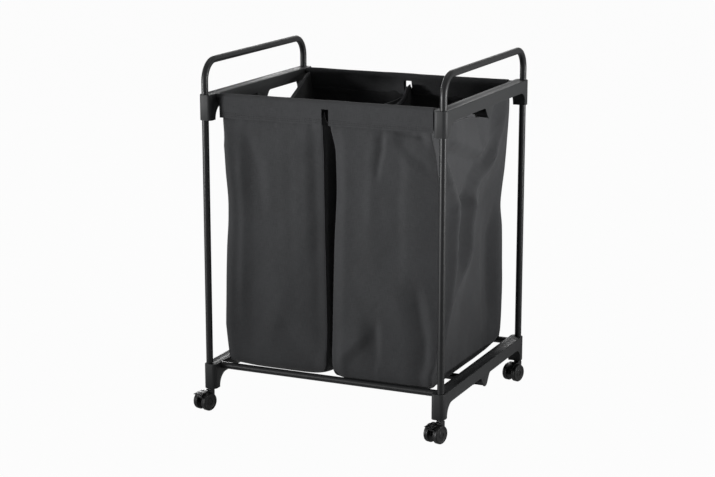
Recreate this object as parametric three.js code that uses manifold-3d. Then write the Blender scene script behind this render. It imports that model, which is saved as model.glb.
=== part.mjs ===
// Laundry hamper with two hanging bags on a wheeled tube frame, in millimetres, +Z up.
// X runs along the front, Y from front to back, and the wheels stand on Z = 0.
import * as THREE from "three";
import { mergeVertices } from "three/addons/utils/BufferGeometryUtils.js";
import Module from "manifold-3d";

const wasm = await Module();
wasm.setup();

// Frame: steel tubes between four moulded end brackets
const tubeDiameter = 15;
const tubeWall = 1;
const postSpacingX = 549.5;
const postSpacingY = 484.7;
const bracketPitch = 600;
const handleRise = 70;
const handleBendRadius = 44;

// End bracket: a channel open below, with a leg at each end and a tooth in the middle
const bracketOuterReach = 10.6;
const bracketInnerReach = 19;
const bracketEndReach = 10.6;
const bracketLegInnerReach = 11.3;
const bracketBeamHeight = 25.7;
const bracketLegHeight = 56;
const bracketArchFoot = 1.5;
const bracketWall = 2.6;
const bracketTopThickness = 3;
const bracketOuterCornerRadius = 10;
const bracketInnerCornerRadius = 9;
const bracketRibThickness = 2;
const bracketRibsPerArch = 4;
const socketWall = 2;
const socketTopDepth = 26;
const socketWebThickness = 3;
const toothDrop = 51;
const toothTipRadius = 13;
const toothRootRadius = 12;
const toothTipFlat = 1.4;
const toothSlope = 53;

// Rods across the hamper, pushed over spigots on the brackets' inner faces
const rodSetback = 21.3;
const middleRodDrop = 38;
const spigotLength = 24;
const spigotBossDepth = 9;
const spigotChamfer = 1.5;

// Bags and the hem sleeves that carry them on the two upper rods
const clothThickness = 1.6;
const hemThickness = 1;
const hemHeight = 52;
const hemEndGap = 11.5;
const hemSeamOffset = 3;
const hemSlitDepth = 15;
const bagEndGap = 9.3;
const bagGap = 14;
const bagGapOffset = 5;
const bagBottomLift = 1;
const bagBottomInset = 5;
const bagCornerRadius = 12;
const bagFootRadius = 18;
const bagSagInset = 54;
const bagWaistPull = 13;
const bagFootPull = 7;
const bagFoldDepth = 10;
const bagOuterMouthDropLeft = 72;
const bagOuterMouthDropRight = 56;
const bagInnerMouthDrop = 60;
const bagMouthShoulder = 10;

// Up the outer side of each bag: the share of the height from foot to hem, and where its two long
// folds lie there, from -1 at the front corner to 1 at the rear one
const waistShare = 0.64;
const straightShare = 0.2;
const foldRowsLeft = [
  [0, -0.86, 0.74], [straightShare, -0.56, 0.35], [0.42, -0.31, 0.2],
  [waistShare, -0.27, 0.33], [0.78, -0.47, 0.49], [1, -0.89, 0.89],
];
const foldRowsRight = [
  [0, -0.8, -0.5], [straightShare, -0.57, -0.37], [0.42, -0.36, 0.06],
  [waistShare, -0.27, 0.27], [0.78, -0.5, 0.57], [1, -0.89, 0.89],
];

// Twin-wheel caster on a plain stem, and the brake lever of the two front ones
const wheelDiameter = 40;
const wheelWidth = 11;
const wheelGap = 13.5;
const wheelTreadRound = 2.4;
const wheelCapThickness = 1.5;
const wheelHubRecessRadius = 5.5;
const wheelHubRecessDepth = 1.1;
const casterTrail = 17;
const casterTurn = -15;
const axleDiameter = 5;
const stemDiameter = 8;
const stemCollarDiameter = 11.8;
const stemCollarHeight = 3;
const stemDepthInHood = 17;
const fenderGap = 1.2;
const fenderWall = 2;
const fenderOverlap = 4;
const fenderFrontAngle = 32;
const fenderRearAngle = 128;
const hoodNeckLength = 15;
const hoodNeckRise = 0.8;
const hoodNeckBottomShare = 0.45;
const hoodHubRadius = 8;
const leverPadLength = 18;
const leverPadReach = 11;
const leverPadRise = 1.8;
const leverWidth = 20;
const leverThickness = 2.2;
const leverArmWidth = 5;
const leverPinDiameter = 2.6;
const leverPinAhead = 14;
const leverPinDrop = 5.6;
const leverEarRadius = 3.4;

// Clearances
const seatGap = 0.3;
const runningGap = 0.3;
const hoodSideGap = 0.5;
const leverGap = 0.8;
const plugHeadGap = 2;
const overrun = 1;

// Facets
const roundSides = 16;
const smallSides = 12;
const wheelSides = 16;
const boreSides = 8;
const bendSteps = 5;
const curveSteps = 8;
const arcStep = Math.PI / 9;

// Worked out from the sizes above
const tubeRadius = tubeDiameter / 2;
const tubeBoreRadius = tubeRadius - tubeWall;
const halfPostX = postSpacingX / 2;
const halfPostY = postSpacingY / 2;
const wheelRadius = wheelDiameter / 2;
const fenderInnerRadius = wheelRadius + fenderGap;
const fenderOuterRadius = fenderInnerRadius + fenderWall;
const hoodTop = wheelRadius + fenderOuterRadius + hoodNeckRise;
const legBottom = hoodTop + stemCollarHeight;
const lowerTop = legBottom + bracketLegHeight;
const upperTop = lowerTop + bracketPitch;
const bracketHalfLength = halfPostY + bracketEndReach;
const socketRadius = tubeRadius + seatGap;
const socketBottomDepth = bracketLegHeight - socketTopDepth - socketWebThickness;
const plugDepth = socketBottomDepth - plugHeadGap;
const spigotRadius = tubeBoreRadius - seatGap;
const rodY = halfPostY - rodSetback;
const rodDrop = tubeRadius;
const innerFaceX = halfPostX - bracketInnerReach;
const degree = Math.PI / 180;
const toothTipHalfWidth = toothTipFlat / 2 + toothTipRadius * Math.tan((toothSlope * degree) / 2);
const toothRootHalfWidth =
  toothTipHalfWidth + (toothDrop - bracketBeamHeight) / Math.tan(toothSlope * degree);

const plastic = { color: 0x47494a, roughness: 0.6, metalness: 0 };
const paintedSteel = { color: 0x2a2d2e, roughness: 0.45, metalness: 0.2 };
const bareSteel = { color: 0x8c8f92, roughness: 0.35, metalness: 1 };
const darkPlastic = { color: 0x18191a, roughness: 0.4, metalness: 0 };
const cloth = { color: 0x3c3d3f, roughness: 0.9, metalness: 0 };

const alongX = new THREE.Matrix4().makeBasis(
  new THREE.Vector3(0, 1, 0), new THREE.Vector3(0, 0, 1), new THREE.Vector3(1, 0, 0));
const alongAxle = new THREE.Matrix4().makeBasis(
  new THREE.Vector3(0, -1, 0), new THREE.Vector3(0, 0, 1), new THREE.Vector3(-1, 0, 0));

// Solids and meshes
function solid(geometry) {
  const bare = geometry.clone();
  bare.deleteAttribute("normal");
  bare.deleteAttribute("uv");
  const merged = mergeVertices(bare);
  return new wasm.Manifold(new wasm.Mesh({
    numProp: 3,
    vertProperties: new Float32Array(merged.attributes.position.array),
    triVerts: new Uint32Array(merged.index.array),
  }));
}

function geometryOf(body) {
  const mesh = body.getMesh();
  const geometry = new THREE.BufferGeometry();
  geometry.setAttribute("position", new THREE.BufferAttribute(mesh.vertProperties, 3));
  geometry.setIndex(new THREE.BufferAttribute(mesh.triVerts, 1));
  const faceted = geometry.toNonIndexed();
  faceted.computeVertexNormals();
  return faceted;
}

const union = (bodies) => bodies.reduce((whole, body) => whole.add(body));
const moved = (geometry, x, y, z) => geometry.translate(x, y, z);

function mesh(name, form, finish) {
  const geometry = form instanceof wasm.Manifold ? geometryOf(form) : form;
  const piece = new THREE.Mesh(geometry, new THREE.MeshStandardMaterial(finish));
  piece.name = name;
  return piece;
}

// Points along an arc, angles in radians, counterclockwise when the second angle is greater
function arc([x, y], radius, from, to) {
  const steps = Math.max(2, Math.round(Math.abs(to - from) / arcStep));
  return Array.from({ length: steps + 1 }, (unused, i) => {
    const angle = from + (i / steps) * (to - from);
    return new THREE.Vector2(x + radius * Math.cos(angle), y + radius * Math.sin(angle));
  });
}

// A closed outline through corners [x, y, radius], with each round corner as an arc
function roundedShape(corners) {
  const points = corners.flatMap(([x, y, radius], i) => {
    const corner = new THREE.Vector2(x, y);
    if (!radius) return [corner];
    const before = corners[(i + corners.length - 1) % corners.length];
    const after = corners[(i + 1) % corners.length];
    const back = new THREE.Vector2(before[0] - x, before[1] - y).normalize();
    const ahead = new THREE.Vector2(after[0] - x, after[1] - y).normalize();
    const half = Math.acos(back.dot(ahead)) / 2;
    const middle = back.clone().add(ahead).normalize();
    const centre = corner.clone().addScaledVector(middle, radius / Math.sin(half));
    const start = corner.clone().addScaledVector(back, radius / Math.tan(half)).sub(centre).angle();
    const sweep = (Math.PI - 2 * half) * (back.cross(ahead) > 0 ? -1 : 1);
    return arc(centre.toArray(), radius, start, start + sweep);
  });
  return new THREE.Shape(points);
}

// The outline of a belt round two circles
function beltPoints([y1, z1], radius1, [y2, z2], radius2) {
  const span = new THREE.Vector2(y2 - y1, z2 - z1);
  const spread = Math.acos((radius1 - radius2) / span.length());
  const start = span.angle() + spread;
  const end = span.angle() - spread + 2 * Math.PI;
  return [
    ...arc([y1, z1], radius1, start, end),
    ...arc([y2, z2], radius2, end - 2 * Math.PI, start),
  ];
}

function extruded(shape, depth) {
  return new THREE.ExtrudeGeometry(shape, { depth, bevelEnabled: false, curveSegments: curveSteps });
}

// An outline in Y and Z, extruded along X from x
function slabAlongX(shape, x, depth) {
  return moved(extruded(shape, depth).applyMatrix4(alongX), x, 0, 0);
}

function box([x1, x2], [y1, y2], [z1, z2]) {
  const geometry = new THREE.BoxGeometry(x2 - x1, y2 - y1, z2 - z1);
  return moved(geometry, (x1 + x2) / 2, (y1 + y2) / 2, (z1 + z2) / 2);
}

function cylinderUp(radius, z1, z2, sides = roundSides) {
  const geometry = new THREE.CylinderGeometry(radius, radius, z2 - z1, sides);
  return moved(geometry.rotateX(Math.PI / 2), 0, 0, (z1 + z2) / 2);
}

function cylinderAlongX(radius, x1, x2, sides = roundSides) {
  const geometry = new THREE.CylinderGeometry(radius, radius, x2 - x1, sides);
  return moved(geometry.rotateZ(Math.PI / 2), (x1 + x2) / 2, 0, 0);
}

// A ring-shaped tube standing on z1
function tubeUp(outer, inner, z1, z2, sides = roundSides) {
  const profile = [[inner, z1], [outer, z1], [outer, z2], [inner, z2], [inner, z1]];
  const points = profile.map(([radius, z]) => new THREE.Vector2(radius, z));
  return new THREE.LatheGeometry(points, sides).rotateX(Math.PI / 2);
}

// A closed skin over rings of points, counterclockwise about their direction of travel
function loft(rings) {
  const count = rings[0].length;
  const index = [];
  for (let ring = 0; ring < rings.length - 1; ring++) {
    for (let i = 0; i < count; i++) {
      const a = ring * count + i;
      const b = ring * count + (i + 1) % count;
      index.push(a, b, b + count, a, b + count, a + count);
    }
  }
  const last = (rings.length - 1) * count;
  for (let i = 1; i < count - 1; i++) {
    index.push(0, i + 1, i, last, last + i, last + i + 1);
  }
  const geometry = new THREE.BufferGeometry().setFromPoints(rings.flat());
  geometry.setIndex(index);
  return geometry;
}

// End bracket, with its top at z = 0 and its post axes on x = 0; +x faces into the hamper
function bracketOutline() {
  const archY = halfPostY - bracketLegInnerReach;
  const archRadius = bracketLegHeight - bracketBeamHeight - bracketArchFoot;
  const half = [
    [bracketHalfLength, 0, 0],
    [bracketHalfLength, -bracketLegHeight, 0],
    [archY, -bracketLegHeight, 0],
    [archY, -bracketBeamHeight, archRadius],
    [toothRootHalfWidth, -bracketBeamHeight, toothRootRadius],
    [toothTipHalfWidth, -toothDrop, toothTipRadius],
  ];
  const mirrored = half.map(([y, z, radius]) => [-y, z, radius]).reverse();
  return roundedShape([...half, ...mirrored]);
}

function bracketPlan(inset) {
  const outer = -bracketOuterReach + inset;
  const inner = bracketInnerReach - inset;
  const end = bracketHalfLength - inset;
  const outerRadius = bracketOuterCornerRadius - inset;
  const innerRadius = Math.max(bracketInnerCornerRadius - inset, 0);
  return roundedShape([
    [outer, -end, outerRadius],
    [inner, -end, innerRadius],
    [inner, end, innerRadius],
    [outer, end, outerRadius],
  ]);
}

// Ribs, sockets and bosses, each ending halfway into the wall that it meets
function bracketInside() {
  const across = [bracketWall / 2 - bracketOuterReach, bracketInnerReach - bracketWall / 2];
  const tall = [-bracketLegHeight - overrun, -bracketTopThickness / 2];
  const ribEnd = halfPostY - bracketLegInnerReach - bracketWall;
  const ribStart = toothRootHalfWidth;
  const ribPitch = (ribEnd - ribStart) / bracketRibsPerArch;
  const pieces = [];
  for (const side of [-1, 1]) {
    for (let rib = 0; rib < bracketRibsPerArch; rib++) {
      const y = side * (ribStart + rib * ribPitch);
      pieces.push(box(across, [y - bracketRibThickness / 2, y + bracketRibThickness / 2], tall));
    }
    const legRib = [side * ribEnd, side * (ribEnd + bracketWall)].sort((a, b) => a - b);
    pieces.push(box(across, legRib, tall));
    pieces.push(moved(cylinderUp(socketRadius + socketWall, ...tall), 0, side * halfPostY, 0));
    const bossFrom = bracketInnerReach - spigotBossDepth;
    const boss = cylinderAlongX(tubeRadius, bossFrom, across[1], boreSides);
    pieces.push(moved(boss, 0, side * rodY, -rodDrop));
  }
  const middle = cylinderAlongX(tubeRadius, ...across, boreSides);
  pieces.push(moved(middle, 0, 0, -middleRodDrop));
  return union(pieces.map(solid));
}

function spigot() {
  const tip = bracketInnerReach + spigotLength;
  const profile = [
    [0, bracketInnerReach - bracketWall],
    [spigotRadius, bracketInnerReach - bracketWall],
    [spigotRadius, tip - spigotChamfer],
    [spigotRadius - spigotChamfer, tip],
    [0, tip],
  ];
  const points = profile.map(([radius, x]) => new THREE.Vector2(radius, x));
  return new THREE.LatheGeometry(points, boreSides).rotateZ(-Math.PI / 2);
}

function bracket(middleSpigot) {
  const width = bracketOuterReach + bracketInnerReach;
  const side = solid(slabAlongX(bracketOutline(), -bracketOuterReach, width));
  const depth = bracketLegHeight + overrun;
  const plan = solid(moved(extruded(bracketPlan(0), depth + overrun), 0, 0, -depth));
  const shell = side.intersect(plan);
  const coreDepth = depth - bracketTopThickness;
  const core = solid(moved(extruded(bracketPlan(bracketWall), coreDepth), 0, 0, -depth));
  let body = shell.subtract(core).add(bracketInside().intersect(shell));
  for (const end of [-1, 1]) {
    const top = cylinderUp(socketRadius, -socketTopDepth, overrun);
    const bottom = cylinderUp(socketRadius, -depth, socketBottomDepth - bracketLegHeight);
    body = body.subtract(solid(moved(top, 0, end * halfPostY, 0)));
    body = body.subtract(solid(moved(bottom, 0, end * halfPostY, 0)));
    body = body.add(solid(moved(spigot(), 0, end * rodY, -rodDrop)));
  }
  return middleSpigot ? body.add(solid(moved(spigot(), 0, 0, -middleRodDrop))) : body;
}

// Posts and rods are plain tubes; a handle is one tube bent into an upside-down U
function post() {
  const foot = lowerTop - socketTopDepth + seatGap;
  const head = upperTop - bracketLegHeight + socketBottomDepth - seatGap;
  return tubeUp(tubeRadius, tubeBoreRadius, foot, head);
}

function rod() {
  const half = innerFaceX - seatGap;
  return tubeUp(tubeRadius, tubeBoreRadius, -half, half).rotateY(Math.PI / 2);
}

function handleSkin(radius, sides, extra) {
  const bendY = halfPostY - handleBendRadius;
  const bendZ = handleRise - handleBendRadius;
  const foot = -socketTopDepth + seatGap - extra;
  const stations = [[-halfPostY, foot, 0]];
  for (let step = 0; step <= bendSteps; step++) {
    const turn = (step / bendSteps) * (Math.PI / 2);
    const y = -bendY - handleBendRadius * Math.cos(turn);
    stations.push([y, bendZ + handleBendRadius * Math.sin(turn), turn]);
  }
  const mirrored = stations.map(([y, z, turn]) => [-y, z, Math.PI - turn]).reverse();
  const rings = [...stations, ...mirrored].map(([y, z, turn]) => {
    const travel = new THREE.Vector3(0, Math.sin(turn), Math.cos(turn));
    const across = new THREE.Vector3(1, 0, 0);
    const out = travel.clone().cross(across);
    return Array.from({ length: sides }, (unused, i) => {
      const angle = (i / sides) * 2 * Math.PI;
      return new THREE.Vector3(0, y, z)
        .addScaledVector(across, radius * Math.cos(angle))
        .addScaledVector(out, radius * Math.sin(angle));
    });
  });
  return solid(loft(rings));
}

function handle() {
  return handleSkin(tubeRadius, roundSides, 0)
    .subtract(handleSkin(tubeBoreRadius, boreSides, overrun));
}

// Hem sleeve: cloth looped over a rod and sewn to itself below, slit between the two bags
function hemSleeve(side) {
  const inner = tubeRadius + seatGap;
  const rodCentre = [side * rodY, upperTop - rodDrop];
  const seamY = side * (rodY + hemSeamOffset);
  const bottom = upperTop - hemHeight;
  const seam = [seamY, bottom + hemThickness];
  const fold = [seamY, bottom + 3 * hemThickness];
  const shape = new THREE.Shape(beltPoints(rodCentre, inner + hemThickness, seam, hemThickness));
  shape.holes.push(new THREE.Path(beltPoints(rodCentre, inner, fold, seatGap / 2)));
  const half = innerFaceX - hemEndGap;
  const sleeve = solid(slabAlongX(shape, -half, 2 * half));
  const slitX = [bagGapOffset - bagGap / 2, bagGapOffset + bagGap / 2];
  const slitY = side > 0 ? [0, halfPostY] : [-halfPostY, 0];
  return sleeve.subtract(solid(box(slitX, slitY, [bottom - overrun, upperTop - hemSlitDepth])));
}

// How far a bag's outer side is drawn in, at a share of the height from foot to hem
function bagPull(share) {
  if (share > waistShare) return (bagWaistPull * (1 - share)) / (1 - waistShare);
  const rise = Math.max(share - straightShare, 0) / (waistShare - straightShare);
  return bagFootPull + rise * (bagWaistPull - bagFootPull);
}

// One ring round the walls of a bag on the +X side, counterclockwise seen from above
function bagRing(z, [share, ...folds], inset, skin) {
  const footY = rodY - bagBottomInset;
  const hemY = rodY + hemSeamOffset + hemThickness;
  const endY = footY + share * (hemY - footY) - inset - skin;
  const outer = innerFaceX - bagEndGap - bagPull(share) - inset - skin;
  const inner = bagGap / 2 + inset + skin;
  const radius = bagCornerRadius - skin;
  const straight = endY - radius;
  const corner = (x, y, turn) => [0, 1, 2].map((i) => {
    const angle = (turn + i / 2) * (Math.PI / 2);
    return [x + radius * Math.cos(angle), y + radius * Math.sin(angle)];
  });
  const stops = [-1, ...folds, 1];
  const wall = stops.slice(1).flatMap((stop, i) => {
    const gap = stop - stops[i];
    const valley = [outer - bagFoldDepth * Math.min(1, 2 * gap), (stop - gap / 2) * straight];
    return i < folds.length ? [valley, [outer, stop * straight]] : [valley];
  });
  const points = [
    ...corner(outer - radius, -straight, -1), ...wall, ...corner(outer - radius, straight, 0),
    ...corner(inner + radius, straight, 1), ...corner(inner + radius, -straight, 2),
  ];
  return points.map(([x, y]) => new THREE.Vector3(x, y, z));
}

// A bag's walls, turned in at the foot and run on upwards past its mouth
function bagWalls(rows, skin) {
  const halfTurned = bagFootRadius * (1 - Math.SQRT1_2);
  const sag = middleRodDrop - tubeRadius;
  const foot = [
    [-sag - overrun, bagSagInset], [-sag / 2, bagFootRadius], [halfTurned, halfTurned],
  ].map(([z, inset]) => bagRing(lowerTop + z + skin, rows[0], inset, skin));
  const hem = upperTop - hemHeight;
  const start = lowerTop + bagFootRadius;
  const walls = rows.map((row) => bagRing(start + row[0] * (hem - start), row, 0, skin));
  return solid(loft([...foot, ...walls, bagRing(upperTop + overrun, rows.at(-1), 0, skin)]));
}

// The room above a bag's bottom, which sags between the lower rods onto the middle one
function aboveBottom(skin) {
  const footY = rodY - bagBottomInset;
  const foot = lowerTop + bagBottomLift + skin;
  const sag = lowerTop - middleRodDrop + tubeRadius + seatGap + skin;
  const top = upperTop + 2 * overrun;
  const shape = new THREE.Shape();
  shape.moveTo(-halfPostY, top);
  shape.lineTo(-halfPostY, foot);
  shape.lineTo(-footY, foot);
  shape.quadraticCurveTo(0, 2 * sag - foot, footY, foot);
  shape.lineTo(halfPostY, foot);
  shape.lineTo(halfPostY, top);
  shape.closePath();
  return solid(slabAlongX(shape, 0, halfPostX));
}

// What is cut away above a bag: level under the hem sleeves and along its inner side, and
// sagging along its outer side
function bagMouth(outerDrop) {
  const level = upperTop - hemHeight - seatGap;
  const shoulderY = rodY - tubeRadius - hemThickness - 2 * seatGap;
  const shoulder = upperTop - bagMouthShoulder;
  const sag = upperTop - outerDrop;
  const top = upperTop + 2 * overrun;
  const shape = new THREE.Shape();
  shape.moveTo(-halfPostY, top);
  shape.lineTo(-halfPostY, level);
  shape.lineTo(-shoulderY, level);
  shape.lineTo(-shoulderY, shoulder);
  shape.quadraticCurveTo(0, 2 * sag - shoulder, shoulderY, shoulder);
  shape.lineTo(shoulderY, level);
  shape.lineTo(halfPostY, level);
  shape.lineTo(halfPostY, top);
  shape.closePath();
  const innerHalfX = [-overrun, (bagGap / 2 + innerFaceX - bagEndGap) / 2];
  const between = [tubeRadius - rodY, rodY - tubeRadius];
  return union([
    solid(slabAlongX(shape, -overrun, halfPostX + 2 * overrun)),
    solid(box(innerHalfX, [-halfPostY, halfPostY], [level, top])),
    solid(box(innerHalfX, between, [upperTop - bagInnerMouthDrop, top])),
  ]);
}

function bag(side) {
  const rows = side > 0 ? foldRowsRight : foldRowsLeft;
  const outside = bagWalls(rows, 0).intersect(aboveBottom(0));
  const inside = bagWalls(rows, clothThickness).intersect(aboveBottom(clothThickness));
  const mouth = bagMouth(side > 0 ? bagOuterMouthDropRight : bagOuterMouthDropLeft);
  const whole = outside.subtract(inside).subtract(mouth);
  const placedWhole = side > 0 ? whole : whole.mirror([1, 0, 0]);
  return geometryOf(placedWhole.translate([bagGapOffset, 0, 0]));
}

// Caster parts stand round the stem axis, trailing towards -Y, with the floor at z = 0
function wheel() {
  const bore = axleDiameter / 2 + runningGap;
  const boreEnd = wheelWidth - wheelHubRecessDepth - wheelCapThickness;
  const recess = wheelWidth - wheelHubRecessDepth;
  const profile = [
    [0, boreEnd],
    [bore, boreEnd],
    [bore, 0],
    [wheelRadius - wheelTreadRound / 2, 0],
    [wheelRadius, wheelTreadRound / 2],
    [wheelRadius, wheelWidth - wheelTreadRound],
    [wheelRadius - wheelTreadRound, wheelWidth],
    [wheelHubRecessRadius, wheelWidth],
    [wheelHubRecessRadius, recess],
    [0, recess],
  ];
  const points = profile.map(([radius, x]) => new THREE.Vector2(radius, x));
  return new THREE.LatheGeometry(points, wheelSides);
}

function hoodWeb() {
  const half = hoodNeckLength / 2;
  const neckFoot = wheelRadius * (1 + hoodNeckBottomShare);
  const from = fenderFrontAngle * degree;
  const meet = Math.acos((half - casterTrail) / fenderOuterRadius);
  const axle = [casterTrail, wheelRadius];
  return new THREE.Shape([
    new THREE.Vector2(half, hoodTop),
    new THREE.Vector2(-half, hoodTop),
    new THREE.Vector2(-half, neckFoot),
    ...arc(axle, hoodHubRadius, Math.PI, from + 2 * Math.PI),
    ...arc(axle, fenderOuterRadius, from, meet),
  ]);
}

function fenderBand() {
  const from = fenderFrontAngle * degree;
  const to = fenderRearAngle * degree;
  const axle = [casterTrail, wheelRadius];
  return new THREE.Shape([
    ...arc(axle, fenderOuterRadius, from, to),
    ...arc(axle, fenderInnerRadius, to, from),
  ]);
}

// An outline in trail length and height, extruded to a width about the caster's middle plane
function slabAlongAxle(shape, width) {
  return solid(moved(extruded(shape, width).applyMatrix4(alongAxle), width / 2, 0, 0));
}

function hood(braked) {
  const thickness = wheelGap - 2 * hoodSideGap;
  const broad = thickness + 2 * fenderOverlap;
  let body = slabAlongAxle(hoodWeb(), thickness).add(slabAlongAxle(fenderBand(), broad));
  const bore = stemDiameter / 2 + runningGap;
  const boreFoot = hoodTop - stemDepthInHood - seatGap;
  body = body.subtract(solid(cylinderUp(bore, boreFoot, hoodTop + overrun, smallSides)));
  const axleHole = cylinderAlongX(axleDiameter / 2 + seatGap, -broad, broad, smallSides);
  body = body.subtract(solid(moved(axleHole, 0, -casterTrail, wheelRadius)));
  return braked ? cutForLever(body, broad) : body;
}

// Room for the brake lever: a notch across the fender and a slot for the lever's arm
function cutForLever(body, broad) {
  const pinY = -leverPinAhead;
  const pinZ = hoodTop - leverPinDrop;
  const across = [-broad, broad];
  const ahead = -casterTrail - fenderOuterRadius - overrun;
  const clear = leverEarRadius + leverGap;
  const notch = box(across, [ahead, pinY - clear], [pinZ - clear, hoodTop + overrun]);
  const slotHalf = leverArmWidth / 2 + runningGap;
  const slotDepth = leverEarRadius + leverGap;
  const slot = box([-slotHalf, slotHalf], [ahead, pinY + slotDepth],
    [pinZ - slotDepth, hoodTop + overrun]);
  const hole = cylinderAlongX(leverPinDiameter / 2 + seatGap, -broad, broad, boreSides);
  return body.subtract(solid(notch)).subtract(solid(slot))
    .subtract(solid(moved(hole, 0, pinY, pinZ)));
}

// Brake lever: a broad pad above the treads on a narrow arm that turns on the pin
function lever() {
  const pinZ = hoodTop - leverPinDrop;
  const bottom = pinZ + leverPadRise;
  const top = bottom + leverThickness;
  const padFrom = leverPinAhead + leverPadReach;
  const padTo = padFrom + leverPadLength;
  const tipThickness = leverThickness / 2;
  const pad = new THREE.Shape([
    new THREE.Vector2(padFrom, bottom),
    new THREE.Vector2(padTo, bottom - tipThickness),
    new THREE.Vector2(padTo, bottom),
    new THREE.Vector2(padFrom + leverThickness, top),
    new THREE.Vector2(padFrom, top),
  ]);
  const earRound = leverEarRadius - runningGap;
  const arm = roundedShape([
    [leverPinAhead - leverEarRadius, pinZ - leverEarRadius, earRound],
    [leverPinAhead + leverEarRadius, pinZ - leverEarRadius, earRound],
    [padFrom + leverThickness, bottom, 0],
    [padFrom + leverThickness, top, 0],
    [leverPinAhead - leverEarRadius, top, leverThickness],
  ]);
  const hole = cylinderAlongX(
    leverPinDiameter / 2 + runningGap, -leverWidth, leverWidth, boreSides);
  return slabAlongAxle(pad, leverWidth).add(slabAlongAxle(arm, leverArmWidth))
    .subtract(solid(moved(hole, 0, -leverPinAhead, pinZ)));
}

function stem() {
  const collarBottom = hoodTop + seatGap;
  const radius = stemDiameter / 2;
  const collar = stemCollarDiameter / 2;
  const profile = [
    [0, hoodTop - stemDepthInHood],
    [radius, hoodTop - stemDepthInHood],
    [radius, collarBottom],
    [collar, collarBottom],
    [collar, legBottom - seatGap],
    [radius, legBottom - seatGap],
    [radius, legBottom + plugDepth],
    [0, legBottom + plugDepth],
  ];
  const points = profile.map(([r, z]) => new THREE.Vector2(r, z));
  return new THREE.LatheGeometry(points, smallSides).rotateX(Math.PI / 2);
}

function plug() {
  return tubeUp(socketRadius - seatGap, stemDiameter / 2 + seatGap, legBottom,
    legBottom + plugDepth, smallSides);
}

// A place named by its corner, such as front_left at x < 0 and y < 0
const corners = ["front_left", "front_right", "rear_left", "rear_right"];
const signX = (corner) => (corner.endsWith("left") ? -1 : 1);
const signY = (corner) => (corner.startsWith("front") ? -1 : 1);

function placed(piece, x, y, z) {
  piece.position.set(x, y, z);
  return piece;
}

function caster(corner) {
  const braked = corner.startsWith("front");
  const group = new THREE.Group();
  group.position.set(signX(corner) * halfPostX, signY(corner) * halfPostY, 0);
  group.rotation.z = casterTurn * degree;
  group.add(mesh(`caster_plug_${corner}`, plug(), darkPlastic));
  group.add(mesh(`caster_stem_${corner}`, stem(), bareSteel));
  group.add(mesh(`caster_hood_${corner}`, hood(braked), darkPlastic));
  const axleHalf = wheelGap / 2 + wheelWidth - wheelHubRecessDepth - wheelCapThickness - seatGap;
  const axle = cylinderAlongX(axleDiameter / 2, -axleHalf, axleHalf, smallSides);
  group.add(placed(mesh(`caster_axle_${corner}`, axle, bareSteel), 0, -casterTrail, wheelRadius));
  for (const [name, side] of [["left", -1], ["right", 1]]) {
    const turned = wheel().rotateZ(-side * Math.PI / 2);
    const wheelMesh = mesh(`wheel_${name}_${corner}`, turned, darkPlastic);
    group.add(placed(wheelMesh, side * wheelGap / 2, -casterTrail, wheelRadius));
  }
  if (braked) {
    const half = (wheelGap - 2 * hoodSideGap) / 2;
    const pin = cylinderAlongX(leverPinDiameter / 2, -half, half, boreSides);
    const pinMesh = mesh(`brake_pin_${corner}`, pin, bareSteel);
    group.add(placed(pinMesh, 0, -leverPinAhead, hoodTop - leverPinDrop));
    group.add(mesh(`brake_lever_${corner}`, lever(), darkPlastic));
  }
  return group;
}

const hamper = new THREE.Group();

for (const [name, side] of [["left", -1], ["right", 1]]) {
  for (const [level, top] of [["upper", upperTop], ["lower", lowerTop]]) {
    const piece = mesh(`${level}_bracket_${name}`, bracket(level === "lower"), plastic);
    piece.rotation.z = side > 0 ? Math.PI : 0;
    hamper.add(placed(piece, side * halfPostX, 0, top));
  }
  const bar = mesh(`handle_${name}`, handle(), paintedSteel);
  hamper.add(placed(bar, side * halfPostX, 0, upperTop));
  hamper.add(mesh(`bag_${name}`, bag(side), cloth));
}

for (const corner of corners) {
  const tube = mesh(`post_${corner}`, post(), paintedSteel);
  hamper.add(placed(tube, signX(corner) * halfPostX, signY(corner) * halfPostY, 0));
  hamper.add(caster(corner));
}

for (const [name, side] of [["front", -1], ["rear", 1]]) {
  for (const [level, top] of [["upper", upperTop], ["lower", lowerTop]]) {
    const tube = mesh(`${level}_rod_${name}`, rod(), paintedSteel);
    hamper.add(placed(tube, 0, side * rodY, top - rodDrop));
  }
  hamper.add(mesh(`hem_sleeve_${name}`, hemSleeve(side), cloth));
}
hamper.add(placed(mesh("lower_rod_middle", rod(), paintedSteel), 0, 0, lowerTop - middleRodDrop));

// The origin is the middle of the whole outline, on the floor
const outline = new THREE.Box3().setFromObject(hamper).getCenter(new THREE.Vector3());
hamper.position.set(-outline.x, -outline.y, 0);

export default hamper;
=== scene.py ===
# %% [markdown]
# # A laundry hamper with two cloth bags
#
# Four steel posts stand in four moulded end brackets, five rods run between the brackets, two
# bent tubes are the handles, and two cloth bags hang by their hems from the upper rods. The whole
# frame rolls on four twin-wheel casters.
#
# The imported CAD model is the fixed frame. Posts, rods, handles, brackets and casters are placed by
# measuring it, so a piece that is made again in finer detail lies where its plain version was.

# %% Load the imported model
import math

import bmesh
import bpy
import numpy as np
from mathutils import Matrix, Vector


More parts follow.
